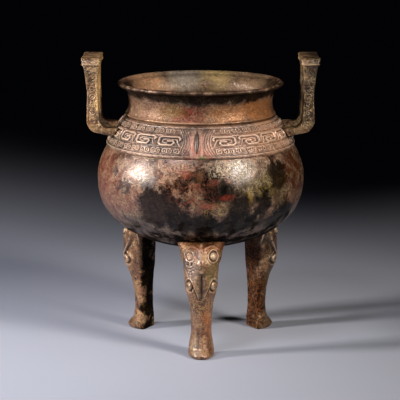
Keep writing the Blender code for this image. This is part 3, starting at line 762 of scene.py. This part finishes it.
# Steps of a box's long sides round the strap, and the side of it that lies on the ear's front or back.
EAR_STEPS = (22, 20)
EDGE_SIDE = 3


def rounded_box(width, depth, radius, steps_wide, steps_deep):
    """Points (across, deep) round a rectangle with round corners, and each point's side number."""
    points, sides = [], []
    right, far = width - radius, depth - radius
    centres = np.array([(radius, radius), (right, radius), (right, far), (radius, far)])
    for side, steps in enumerate((steps_wide, steps_deep) * 2):
        turn = arc(centres[side], radius, 180 + 90 * side, 270 + 90 * side, 4)
        follow = centres[(side + 1) % 4] - centres[side]
        points += [turn, turn[-1] + np.linspace(0, 1, steps + 1)[1:-1, None] * follow]
        sides += [side] * (len(turn) + steps - 1)
    return np.concatenate(points), np.array(sides)


# Heights in mm of the ear's panel, the chevrons and ringed dots in it, and the foot of the plain head.
PANEL, CHEVRONS, DOTS, HEAD_FOOT = (226, 285), (268, 284), (226, 267), (285.4, 287.0)
CHEVRON_STEP, DOT_STEP, DOT_START = 4.4, 7.8, 222.6


def ear_relief(height, across, depth):
    """Panel on the ear's side faces: borders, chevrons above, ringed dots below, in millimetres."""
    inside = smooth((depth / 2 - 1.5 - np.abs(across)) / 0.5 + 0.5) * window(height, *PANEL, 1.0)
    chevron = np.abs((height + 0.9 * np.abs(across)) % CHEVRON_STEP - CHEVRON_STEP / 2)
    chevron = ridge(chevron, 1.1, 0.5, 0.5) * window(height, *CHEVRONS, 1.0)
    ringed = (height - DOT_START) % DOT_STEP
    distance = np.hypot(np.minimum(ringed, DOT_STEP - ringed), across)
    dots = ridge(np.abs(distance - 2.5), 1.0, 0.5, 0.5) + ridge(distance, 1.2, 0.5, 0.5)
    dots = dots * window(height, *DOTS, 0.6)
    return inside * (np.maximum(chevron, dots) - 0.5)


def ear(name, side, material):
    """A loop ear that stands on two bars, with decorated side faces and a plain flared head."""
    inner, outer = ear_lines()
    run = run_of((inner + outer) / 2)
    rows, reliefs = [], []
    for (y_out, at_out), (y_in, at_in) in zip(*arch_lines(run[-1])):
        width = math.hypot(y_out - y_in, at_out - at_in)
        middle = (at_out + at_in) / 2
        depth = float(np.linalg.norm(along(outer, run, middle) - along(inner, run, middle)))
        box, faces = rounded_box(width, depth, EAR_EDGE, *EAR_STEPS)
        share, deep = box[:, 0] / width, box[:, 1] / depth
        at = at_out + (at_in - at_out) * share
        y = y_out + (y_in - y_out) * share
        near, far = along(inner, run, at), along(outer, run, at)
        place = near + (far - near) * deep[:, None]
        rows.append(np.column_stack([place[:, 0], y, place[:, 1]]))
        height = place[:, 1] / MM
        plain = window(height, *HEAD_FOOT, 0.6) * 1.2 + smooth(height - HEAD_FOOT[1]) * 0.4
        panel = ear_relief(height, (deep - 0.5) * depth / MM, depth / MM)
        panel = panel * (faces == EDGE_SIDE) * (np.abs(y) > EAR_WIDTH / 2 - MM)
        reliefs.append(panel + plain * (np.abs(y_out) > EAR_WIDTH / 2 - EAR_CORNER))
    points, relief = np.array(rows), np.array(reliefs)
    lumps = roughened(points, (80, 0.25, 3 + side), (320, 0.12, 6 + side))
    points = points - grid_normals(points) * (relief * MM * 0.9 + lumps)[..., None]
    points[..., 2] = np.minimum(points[..., 2], EAR_TOP)
    points[..., 0] *= side
    standing = high_spots(relief + lumps / MM, 3, 0.6)
    return grid_piece(name, points, material, caps=True, rise=standing)


def spot(angle, height):
    """A place on the bowl's outside, from its angle round the axis in degrees and its height in mm."""
    radius = bowl_radius_at(height * MM)
    turn = math.radians(angle)
    return (radius * math.cos(turn), radius * math.sin(turn), height * MM)


def stain_mask(tree, place, ragged, centre, half_sizes, edge):
    """Socket that is 1 inside a stain with a ragged edge, from its centre and half sizes in mm."""
    scale = tuple(size * MM for size in half_sizes)
    local = add(tree, "Mapping", {0: place, 1: centre, 3: scale}, vector_type="TEXTURE")
    away = add(tree, "VectorMath", [local], out=1, operation="LENGTH")
    away = add(tree, "Math", [away, ragged], operation="ADD")
    return add(tree, "MapRange", [away, 1.0 + edge, 1.0 - edge], interpolation_type="SMOOTHSTEP")


# How far the patina's places are stirred, the half size under which a stain has a finely frayed edge,
# and the height of the corroded skin's bumps, all in millimetres. Then the mottling's steps.
STIR, SMALL_STAIN, SKIN_BUMP = 26, 13, 0.45
GROUND_STEPS = (0.40, 0.47, 0.53, 0.60)


def bronze(name, grounds, wear, soil, stains, crust, polish, coat=0.35, pits=0.6, grain=0.6, relief=True):
    """Patinated tin bronze, in the colours of one part of the vessel.

    grounds: four hex colours that the mottling runs through, dark to light. wear: colour of rubbed
    high spots and its share. soil: colour of the hollows and its share. stains: (kind, centre, half
    sizes in mm, edge, colour, strength), where a blot covers, a black one shines like tin-rich metal,
    a matt_and_painted_shade one is matt and mostly painted shade, and a web lies in threads. crust:
    colour of the fine mineral lines and specks, and their share. polish: roughness where smooth and
    where rough. coat: share of wax. pits: depth of corrosion. grain: size of the mottling against the
    belly's. relief: the mesh says how far each place stands proud."""
    material = bpy.data.materials.new(name)
    material.use_nodes = True
    tree = material.node_tree
    tree.nodes.clear()
    soft = {"interpolation_type": "SMOOTHSTEP"}
    blend = {"out": 2, "data_type": "RGBA"}
    place = add(tree, "TexCoord", out="Object")
    # The patina grew in blots of 10 to 30 mm with finer islands in them, so the place is stirred first.
    stir = add(tree, "TexNoise", {"Vector": place, "Scale": 1000 / 21, "Detail": 4.0}, out=1)
    stir = add(tree, "VectorMath", [stir, (0.5, 0.5, 0.5)], operation="SUBTRACT")
    stir = add(tree, "VectorMath", [stir, (STIR * MM,) * 3, place], operation="MULTIPLY_ADD")
    blots, islands, flecks, specks = [
        add(tree, "TexNoise", {"Vector": at, "Scale": 1000 / size, "Detail": detail, "Roughness": rough})
        for at, size, detail, rough in (
            (stir, 30 * grain, 8.0, 0.58),
            (stir, 8 * grain, 6.0, 0.62),
            (place, 1 + 1.8 * grain, 4.0, 0.65),
            (place, 1.3, 2.0, 0.6),
        )
    ]
    # Mottled ground: half from the blots, half from the islands, with flecks that roughen the borders.
    mottle = add(tree, "Math", [blots, islands], operation="ADD")
    mottle = add(tree, "Math", [mottle, 0.5, -0.15], operation="MULTIPLY_ADD")
    mottle = add(tree, "Math", [flecks, 0.30, mottle], operation="MULTIPLY_ADD")
    colour = add(tree, "ValToRGB", [mottle])
    ramp = colour.node.color_ramp
    while len(ramp.elements) < len(grounds):
        ramp.elements.new(1.0)
    for step, at, code in zip(ramp.elements, GROUND_STEPS, grounds):
        step.position = at
        step.color = srgb(code)
    # Edges of the stains: waves of 16 mm with islands on them, and finer ones for the small stains.
    ragged = add(tree, "TexNoise", {"Vector": place, "Scale": 1000 / 16, "Detail": 3.0})
    ragged = add(tree, "Math", [ragged, 1.7, islands], operation="MULTIPLY_ADD")
    ragged = add(tree, "Math", [flecks, 0.4, ragged], operation="MULTIPLY_ADD")
    ragged = add(tree, "Math", [ragged, 1.55], operation="SUBTRACT")
    frayed = add(tree, "Math", [flecks, 0.5], operation="SUBTRACT")
    frayed = add(tree, "Math", [frayed, 1.6, ragged], operation="MULTIPLY_ADD")
    # Threads of cuprite a millimetre wide and 3 to 4 mm apart.
    threads = add(tree, "TexNoise", {"Vector": stir, "Scale": 1000 / 4.2, "Detail": 3.0})
    threads = add(tree, "Math", [threads, 0.5], operation="SUBTRACT")
    threads = add(tree, "Math", [threads], operation="ABSOLUTE")
    threads = add(tree, "MapRange", [threads, 0.060, 0.012], **soft)
    glassy = matt = 0.0
    for kind, centre, half_sizes, edge, code, strength in stains:
        border = frayed if max(half_sizes) < SMALL_STAIN else ragged
        where = stain_mask(tree, place, border, centre, half_sizes, edge)
        where = add(tree, "Math", [where, strength], operation="MULTIPLY")
        if kind == "web":
            where = add(tree, "Math", [where, threads], operation="MULTIPLY")
        if kind == "black":
            glassy = add(tree, "Math", [glassy, where], operation="MAXIMUM")
        if kind == "matt_and_painted_shade":
            matt = add(tree, "Math", [matt, where], operation="MAXIMUM")
        colour = add(tree, "Mix", {0: where, 6: colour, 7: srgb(code)}, **blend)
    # Crackle: mineral lines half a millimetre wide round scales of 3 mm, in patches, and specks.
    cracks = add(tree, "TexVoronoi", {"Vector": stir, "Scale": 1000 / 3.0}, feature="DISTANCE_TO_EDGE")
    cracks = add(tree, "MapRange", [cracks, 0.13, 0.02], **soft)
    patches = add(tree, "TexNoise", {"Vector": place, "Scale": 1000 / 9, "Detail": 4.0})
    patches = add(tree, "MapRange", [patches, 0.40, 0.58], **soft)
    lines = add(tree, "MapRange", [specks, 0.56, 0.70], **soft)
    lines = add(tree, "Math", [lines, cracks], operation="MAXIMUM")
    lines = add(tree, "Math", [lines, patches], operation="MULTIPLY")
    covered = add(tree, "Math", [glassy, matt], operation="MAXIMUM")
    bare = add(tree, "Math", [covered, -0.9 * crust[1], crust[1]], operation="MULTIPLY_ADD")
    lines = add(tree, "Math", [lines, bare], operation="MULTIPLY")
    colour = add(tree, "Mix", {0: lines, 6: colour, 7: srgb(crust[0])}, **blend)
    # Every millimetre differs a little in tone.
    dim = add(tree, "Math", [flecks, 1.9, 0.05], operation="MULTIPLY_ADD")
    grey = add(tree, "CombineColor", [dim, dim, dim])
    colour = add(tree, "Mix", {0: 0.8, 6: colour, 7: grey}, blend_type="MULTIPLY", **blend)
    # Hollows keep earth and high places are rubbed, by the relief's height or else by the mesh's edges.
    if relief:
        height = add(tree, "Attribute", out="Fac", attribute_name="rise")
        height = add(tree, "Math", [flecks, 0.25, height], operation="MULTIPLY_ADD")
        hollow, proud = (0.52, 0.20), (0.74, 1.0)
    else:
        height = add(tree, "NewGeometry", out="Pointiness")
        hollow, proud = (0.49, 0.43), (0.515, 0.58)
    dusty, rubbed = [
        add(tree, "Math", [add(tree, "MapRange", [height, *bounds], **soft), share], operation="MULTIPLY")
        for bounds, share in ((hollow, soil[1]), (proud, wear[1]))
    ]
    for where, code in ((dusty, soil[0]), (rubbed, wear[0])):
        colour = add(tree, "Mix", {0: where, 6: colour, 7: srgb(code)}, **blend)
    shine = add(tree, "Math", [flecks, 0.7, islands], operation="MULTIPLY_ADD")
    rough = add(tree, "MapRange", [shine, 0.62, 1.08, *polish])
    for part, share in ((dusty, 0.2), (lines, 0.2), (matt, 0.3)):
        rough = add(tree, "Math", [part, share, rough], operation="MULTIPLY_ADD")
    # Black patches are dense oxide that shines as metal does, and the matt stains, mostly painted shade,
    # get the same metal; matt ones have no wax and a dull edge.
    metal = add(tree, "Math", [covered, 0.5, 0.35], operation="MULTIPLY_ADD")
    wax = add(tree, "Math", [glassy, -0.5 * coat, coat], operation="MULTIPLY_ADD")
    wax = add(tree, "Math", [matt, -coat, wax], operation="MULTIPLY_ADD", use_clamp=True)
    edge = add(tree, "Math", [matt, -0.9, 1.0], operation="MULTIPLY_ADD")
    # Corrosion pits of 1 to 2 mm in shallow hollows of 8 mm; the crackle's lines stand proud.
    bumps = flecks
    for part, share in ((islands, 1.1), (specks, 0.7), (lines, 0.9)):
        bumps = add(tree, "Math", [part, share, bumps], operation="MULTIPLY_ADD")
    # The neck is rougher than the belly, which hands rubbed.
    level = add(tree, "SeparateXYZ", [place], out=2)
    deeper = add(tree, "MapRange", [level, BAND_HEAD - 2 * MM, BAND_HEAD + 2 * MM, pits, 1.0])
    bump = add(tree, "Bump", {"Height": bumps, "Strength": deeper, "Distance": SKIN_BUMP * MM})
    surface = {
        "Base Color": colour,
        "Roughness": rough,
        "Normal": bump,
        "Metallic": metal,
        "Specular Tint": edge,
        "Coat Weight": wax,
        "Coat Roughness": 0.20,
        "Coat Normal": bump,
    }
    add(tree, "OutputMaterial", [add(tree, "BsdfPrincipled", surface)])
    return material


# Stains on the belly, with painted shade and a painted reflection among them: kind, (angle, height in mm),
# half sizes in mm, edge, colour, strength.
BELLY_STAINS = (
    # The first blot darkens the whole lower belly all round: painted shade.
    ("blot", (-160, 118), (400, 400, 40), 0.55, "#432b1f", 0.60),
    ("blot", (-157, 178), (26, 30, 34), 0.45, "#7d4533", 0.75),
    ("blot", (-142, 152), (26, 26, 22), 0.40, "#663b2a", 0.70),
    ("web", (-140, 170), (34, 34, 30), 0.40, "#9a6753", 0.55),
    ("blot", (-128, 190), (24, 24, 16), 0.40, "#60463a", 0.65),
    # Painted reflection: the grey halo beside the left highlight.
    ("blot", (-118, 180), (14, 12, 9), 0.45, "#57504c", 0.80),
    ("blot", (-135.5, 173), (11, 11, 6), 0.25, "#3c302c", 0.75),
    ("blot", (-145.6, 187), (4, 4, 6), 0.20, "#2f221f", 0.85),
    ("blot", (-100, 184), (26, 16, 18), 0.35, "#52301f", 0.85),
    ("web", (-103, 183), (26, 16, 20), 0.35, "#985a42", 0.85),
    ("web", (-106, 172), (24, 14, 14), 0.35, "#a27659", 0.80),
    ("blot", (-94, 163), (15, 12, 10), 0.35, "#5c4530", 0.60),
    ("web", (-97, 165), (16, 12, 10), 0.35, "#a88364", 0.80),
    ("black", (-112, 152), (28, 22, 21), 0.26, "#281c16", 0.97),
    ("black", (-117, 162), (11, 10, 17), 0.22, "#2b1f19", 0.95),
    ("black", (-95, 140), (30, 20, 14), 0.36, "#18100d", 0.95),
    ("black", (-80, 177), (17, 12, 15), 0.34, "#1b120d", 0.92),
    ("black", (-90, 188), (14, 10, 7), 0.25, "#21160f", 0.85),
    ("black", (-100, 178), (7, 7, 9), 0.25, "#1e130e", 0.80),
    ("blot", (-90.5, 187), (3, 5, 6), 0.30, "#86603f", 0.70),
    ("blot", (-98, 190), (5, 6, 4), 0.45, "#95482d", 0.60),
    ("web", (-95, 178), (22, 16, 18), 0.35, "#824a33", 0.70),
    ("blot", (-82.4, 182), (5, 5, 3), 0.45, "#8c4a38", 0.60),
    ("blot", (-74, 167), (11, 7, 2.6), 0.35, "#a3402a", 0.80),
    ("blot", (-85, 159), (8, 6, 2.6), 0.35, "#8a3826", 0.75),
    ("web", (-90, 160), (20, 14, 9), 0.35, "#7d3d2a", 0.80),
    ("web", (-80, 155), (16, 12, 8), 0.35, "#8f7440", 0.85),
    ("blot", (-74, 156), (8, 7, 6), 0.40, "#57421f", 0.75),
    ("blot", (-70, 194), (26, 16, 9), 0.35, "#34281f", 0.80),
    ("web", (-72, 193), (24, 16, 11), 0.35, "#a6957c", 0.78),
    ("blot", (-68, 182), (13, 11, 10), 0.35, "#4c3f38", 0.75),
    ("blot", (-56, 174), (24, 22, 22), 0.35, "#3f2f14", 0.88),
    ("blot", (-63, 163), (4, 4, 9), 0.28, "#85651c", 0.85),
    ("web", (-54, 174), (18, 18, 18), 0.35, "#7d6a2c", 0.80),
    ("black", (-43, 186), (11, 12, 14), 0.34, "#22150d", 0.93),
    ("black", (-68, 153), (17, 12, 13), 0.32, "#1b110b", 0.95),
    ("black", (-55, 158), (14, 12, 12), 0.32, "#1d130c", 0.93),
    ("blot", (-40, 165), (12, 14, 20), 0.40, "#453217", 0.70),
    ("blot", (-24, 176), (18, 22, 32), 0.40, "#502811", 0.90),
    ("black", (-70, 138), (34, 22, 13), 0.30, "#0e0907", 0.92),
    ("black", (-40, 140), (34, 28, 15), 0.30, "#120b08", 0.88),
    ("blot", (-130, 137), (26, 24, 12), 0.40, "#35261b", 0.75),
    ("blot", (40, 170), (34, 30, 24), 0.40, "#2a1d16", 0.80),
    ("web", (75, 186), (30, 22, 14), 0.40, "#a5684a", 0.80),
    ("black", (105, 160), (32, 24, 22), 0.30, "#150e0b", 0.85),
    ("blot", (140, 182), (28, 28, 18), 0.40, "#4b3a20", 0.75),
    ("blot", (165, 160), (26, 30, 20), 0.40, "#663828", 0.70),
    ("blot", (10, 150), (26, 30, 18), 0.40, "#3c2516", 0.70),
)
NECK_STAINS = (
    ("blot", (-150, 246), (26, 26, 12), 0.40, "#6e5240", 0.70),
    ("web", (-140, 243), (40, 40, 14), 0.40, "#967458", 0.55),
    ("blot", (-60, 243), (26, 24, 10), 0.40, "#8a5831", 0.75),
    ("blot", (-35, 243), (26, 30, 12), 0.40, "#a2683a", 0.80),
    ("web", (-70, 240), (26, 24, 10), 0.40, "#a87c56", 0.70),
    ("blot", (-100, 241), (16, 12, 7), 0.40, "#5c2a1c", 0.75),
    ("web", (-100, 242), (18, 14, 9), 0.40, "#8a4230", 0.80),
    ("blot", (-112, 246), (12, 12, 7), 0.40, "#6b4c22", 0.80),
    ("blot", (-108, 258), (9, 9, 4), 0.35, "#2e3a1c", 0.80),
    # Painted shade: this blot and the last two darken the neck just under the lip.
    ("blot", (-92, 256), (16, 12, 5), 0.40, "#2c1c14", 0.80),
    ("blot", (-176, 233), (6, 8, 5), 0.35, "#4a5a30", 0.80),
    ("blot", (-105, 232.5), (62, 62, 2.8), 0.40, "#c09474", 0.70),
    ("blot", (-65, 258), (24, 20, 6), 0.40, "#33211a", 0.75),
    ("blot", (-130, 259), (22, 22, 5), 0.40, "#3b2a22", 0.70),
)


def placed(stains):
    """The stains with their places on the bowl worked out."""
    return [(kind, spot(*where), *rest) for kind, where, *rest in stains]


def shell_bronze():
    """Cast tin bronze with a brown patina: oxide in mottled browns, black tin-rich patches that shine,
    threads of red cuprite, ochre and green salts. Rubbed smooth with wax on the belly, so that the eye
    gets sharp lights on dark metal, and rough on the neck. Painted shade darkens the lower belly, the
    bowl's underside and the neck under the lip, and a grey blot by the left highlight paints its halo."""
    # Painted shade: near-black and matt on the bowl's underside.
    matt_and_painted_shade = ("matt_and_painted_shade", (0, 0, 0.100), (132, 132, 40), 0.40, "#100a07", 0.98)
    # Painted shade on the neck under the lip's overhang, all round.
    painted_shade_under_lip = ("matt_and_painted_shade", (0, 0, 0.2600), (400, 400, 6), 0.35, "#1d120b", 0.88)
    # Only a duller, matt tone on the neck, not shade.
    dull_neck = ("matt_and_painted_shade", (0, 0, 0.2370), (400, 400, 17), 0.45, "#7b563f", 0.50)
    rim_inside = (
        ("blot", (-0.060, 0.050, 0.262), (26, 26, 16), 0.65, "#cc9870", 0.80),
        ("web", (0.0, 0.060, 0.262), (90, 40, 16), 0.40, "#c4aa88", 0.60),
        ("blot", (-0.020, 0.074, 0.262), (20, 18, 16), 0.65, "#968a7b", 0.75),
        ("blot", (0.018, 0.076, 0.262), (16, 16, 16), 0.65, "#b89c68", 0.68),
        ("blot", (0.056, 0.054, 0.262), (24, 24, 16), 0.65, "#84684f", 0.75),
        ("web", (0.0, 0.060, 0.262), (90, 40, 16), 0.40, "#33251a", 0.45),
    )
    return bronze(
        "cast_bronze_brown_patina",
        grounds=("#22160f", "#432b20", "#654434", "#836149"), wear=("#b39474", 0.65),
        soil=("#20150d", 0.65),
        stains=[*placed(BELLY_STAINS), dull_neck, *placed(NECK_STAINS), matt_and_painted_shade, painted_shade_under_lip, *rim_inside],
        crust=("#a98f6c", 0.50), polish=(0.22, 0.46), coat=0.42, pits=0.42, grain=1.0, relief=False,
    )


def ornament_bronze():
    """Cast tin bronze whose sunk ground is filled with tan earth: matt and dark in the hollows, with
    the raised lines rubbed to warm grey-gold, so that the eye reads the ornament."""
    stains = placed((
        ("blot", (-110, 216), (16, 16, 12), 0.45, "#4d362a", 0.60),
        ("blot", (-91, 215), (11, 12, 12), 0.45, "#bd8872", 0.65),
        ("blot", (-178, 214), (30, 44, 20), 0.45, "#6f6038", 0.50),
        ("blot", (-86, 207), (5, 8, 3), 0.40, "#9c4a35", 0.60),
        ("blot", (-89.2, 205), (4, 5, 2.4), 0.40, "#5c6a38", 0.75),
        ("web", (-95, 210), (12, 8, 8), 0.45, "#9a3f2e", 0.70),
        # Painted light: the last two blots brighten the band's right side, as the light from the right
        # would.
        ("blot", (-40, 218), (30, 34, 16), 0.45, "#d8a27a", 0.75),
        ("blot", (-70, 217), (22, 26, 14), 0.45, "#c4957a", 0.60),
    ))
    return bronze(
        "cast_bronze_earth_filled",
        grounds=("#33231a", "#583f31", "#785846", "#977660"), wear=("#cfb098", 0.68),
        soil=("#20150e", 0.90), stains=stains, crust=("#b09680", 0.40), polish=(0.34, 0.58),
    )


def leg_bronze():
    """Cast tin bronze with an olive-brown patina and rust-coloured earth, dark where the bowl and the
    next leg shade it, rubbed bright on the masks' eyes, ridges and toes."""
    # Painted shade at the legs' tops, under the bowl.
    matt_and_painted_shade = ("matt_and_painted_shade", (0, 0, 0.126), (400, 400, 13), 0.50, "#3a2416", 0.70)
    stains = (
        ("web", (0.0, 0.0, 0.05), (400, 400, 75), 0.40, "#8f5a38", 0.60),
        # Painted shade on the back-right leg's top, where the bowl shades its inner side.
        ("blot", (0.050, 0.030, 0.097), (24, 24, 24), 0.40, "#1d140d", 0.90),
        ("blot", (-0.010, -0.095, 0.091), (7, 20, 12), 0.40, "#86746a", 0.65),
        ("blot", (0.001, -0.090, 0.078), (5, 20, 15), 0.45, "#3f281b", 0.75),
        ("blot", (0.012, -0.088, 0.088), (7, 20, 12), 0.45, "#655428", 0.65),
        ("blot", (0.004, -0.080, 0.117), (26, 24, 7), 0.45, "#8c4f26", 0.75),
        ("blot", (0.008, -0.088, 0.038), (6, 20, 20), 0.45, "#a4602c", 0.75),
        ("blot", (-0.006, -0.092, 0.013), (7, 20, 10), 0.45, "#94826c", 0.65),
        ("web", (0.0, -0.088, 0.055), (26, 26, 12), 0.40, "#b28250", 0.70),
        # Painted shade on the back-right leg's outer side, turned from the key light.
        ("blot", (0.085, 0.045, 0.050), (34, 34, 72), 0.40, "#342012", 0.78),
        # Painted shade on the back legs' inner faces, with the right one's own copper threads over it.
        ("matt_and_painted_shade", (0.0463, 0.0268, 0.055), (19, 19, 75), 0.30, "#2c1a10", 0.85),
        ("web", (0.0463, 0.0268, 0.055), (19, 19, 75), 0.30, "#7c4829", 0.80),
        ("matt_and_painted_shade", (-0.0463, 0.0268, 0.055), (16, 16, 90), 0.20, "#0a0604", 0.97),
        ("blot", (-0.006, -0.092, 0.034), (7, 20, 14), 0.40, "#6a4a42", 0.60),
    )
    return bronze(
        "cast_bronze_olive_patina",
        grounds=("#24160d", "#4c2f1b", "#734a2e", "#98754f"), wear=("#bfa284", 0.65),
        soil=("#150d07", 0.90), stains=[*stains, matt_and_painted_shade], crust=("#a88c5c", 0.45), polish=(0.26, 0.50),
    )


def ear_bronze():
    """Cast tin bronze with a yellow-brown patina, dark earth in the panels, ochre on the inner faces,
    painted pale on the left ear's as painted light, and green where water stood at the roots."""
    stains = (
        ("blot", (0.112, 0.0, 0.225), (18, 34, 12), 0.45, "#4c482a", 0.65),
        ("blot", (-0.118, -0.02, 0.225), (10, 26, 14), 0.45, "#99683c", 0.60),
        # Painted light: the left ear's inner face is its own ochre made pale, as if the lamp reached it.
        ("blot", (-0.0992, 0.0, 0.262), (6.5, 44, 27), 0.15, "#d6ab6e", 0.80),
        ("blot", (0.116, 0.0, 0.27), (16, 60, 40), 0.45, "#28190f", 0.86),
    )
    return bronze(
        "cast_bronze_ochre_patina",
        grounds=("#32241a", "#5f4530", "#866347", "#a9885f"), wear=("#bd9e78", 0.60),
        soil=("#2a1d12", 0.70), stains=stains, crust=("#a78f5e", 0.45), polish=(0.28, 0.52),
    )


def flange_bronze():
    """Cast tin bronze, grey-brown and smooth on the crest that hands rubbed most."""
    return bronze(
        "cast_bronze_rubbed_crest",
        grounds=("#281c16", "#3c2d24", "#4b3a30", "#58473d"), wear=("#6d594c", 0.4),
        soil=("#2c211b", 0.6), stains=(), crust=("#8f7c6a", 0.25), polish=(0.34, 0.50), coat=0.3,
        relief=False,
    )


def floor_finish():
    """Matt painted board: even and pale, with no pattern that shows at this distance."""
    material = bpy.data.materials.new("matt_painted_board")
    material.use_nodes = True
    tree = material.node_tree
    shader = tree.nodes["Principled BSDF"]
    place = add(tree, "TexCoord", out="Object")
    tone = add(tree, "TexNoise", {"Vector": place, "Scale": 1000 / 400, "Detail": 3.0})
    tone = add(tree, "Mix", {0: tone, 6: srgb("#9b9da7"), 7: srgb("#a6a8b2")}, out=2, data_type="RGBA")
    tree.links.new(tone, shader.inputs["Base Color"])
    shader.inputs["Roughness"].default_value = 0.62
    return material


def studio_floor():
    """A board large enough to fill the view."""
    builder = bmesh.new()
    bmesh.ops.create_grid(builder, x_segments=2, y_segments=2, size=9.0)
    mesh = bpy.data.meshes.new("studio_floor")
    builder.to_mesh(mesh)
    builder.free()
    mesh.materials.append(floor_finish())
    linked("studio_floor", mesh)


def soft_light(name, place, target, size, power, tint, spread):
    """A softbox at a place, turned to a target, with a grid that keeps its light within an angle."""
    lamp = bpy.data.lights.new(name, "AREA")
    lamp.shape = "RECTANGLE"
    lamp.size, lamp.size_y = size
    lamp.energy = power
    lamp.spread = math.radians(spread)
    lamp.color = srgb(tint)[:3]
    stand = linked(name, lamp)
    stand.location = place
    stand.rotation_euler = (Vector(target) - Vector(place)).to_track_quat("-Z", "Y").to_euler()


def studio():
    """Soft key from the left, a tall strip at the front right, a pale board over the floor, the camera."""
    soft_light("key_left", (-1.50, -0.42, 0.70), (0, 0, 0.17), (0.22, 0.30), 1.36, "#fffaf6", 32)
    soft_light("tall_right", (1.02, -0.93, 0.95), (-0.16, -0.15, 0.08), (0.30, 0.95), 2.9, "#fffaf4", 45)
    soft_light("front_board", (-0.70, -0.90, 1.40), (-0.60, -0.28, 0), (0.5, 0.4), 4.6, "#eef1ff", 56)
    world = bpy.data.worlds.new("dim_room")
    world.use_nodes = True
    room = world.node_tree.nodes["Background"].inputs
    room["Color"].default_value = srgb("#20222a")
    room["Strength"].default_value = 0.12
    bpy.context.scene.world = world
    lens = bpy.data.cameras.new("view")
    lens.lens = 146.34
    lens.sensor_width = 36.0
    lens.clip_end = 30
    # The camera's place was fitted to the ellipse of the mouth and to the places of the three feet.
    camera = linked("view", lens)
    camera.location = (-0.0006, -1.623, 0.487)
    camera.rotation_euler = (math.radians(90 - 11.94), 0, 0)
    bpy.context.scene.camera = camera
    bpy.context.scene.view_settings.view_transform = "Standard"


def build():
    """Makes every piece with its finish, puts them on the casting, and sets the floor, lights and camera."""
    shell = shell_bronze()
    ornament = ornament_bronze()
    legs = leg_bronze()
    ears = ear_bronze()
    crest = flange_bronze()
    pieces = [bowl(shell), ornament_band(ornament)]
    tree, unit = coil_row_tree(), coil_unit()
    pieces.append(coil_row("coils_upper", tree, unit, UPPER_COILS, 2.9, 3, ornament))
    pieces.append(coil_row("coils_lower", tree, unit, LOWER_COILS, 3.0, 4, ornament))
    bpy.data.objects.remove(unit)
    for place, facing in (("front", -math.pi / 2 + BAND_TURN), ("back", math.pi / 2 + BAND_TURN)):
        pieces.append(flange(f"flange_{place}", facing, crest))
        pieces.append(neck_seam(f"seam_{place}", facing, shell))
    pieces += [leg(number, legs) for number in range(LEG_COUNT)]
    pieces += [ear("ear_right", 1, ears), ear("ear_left", -1, ears)]
    for piece in pieces:
        carried(piece)
    studio_floor()
    studio()


build()
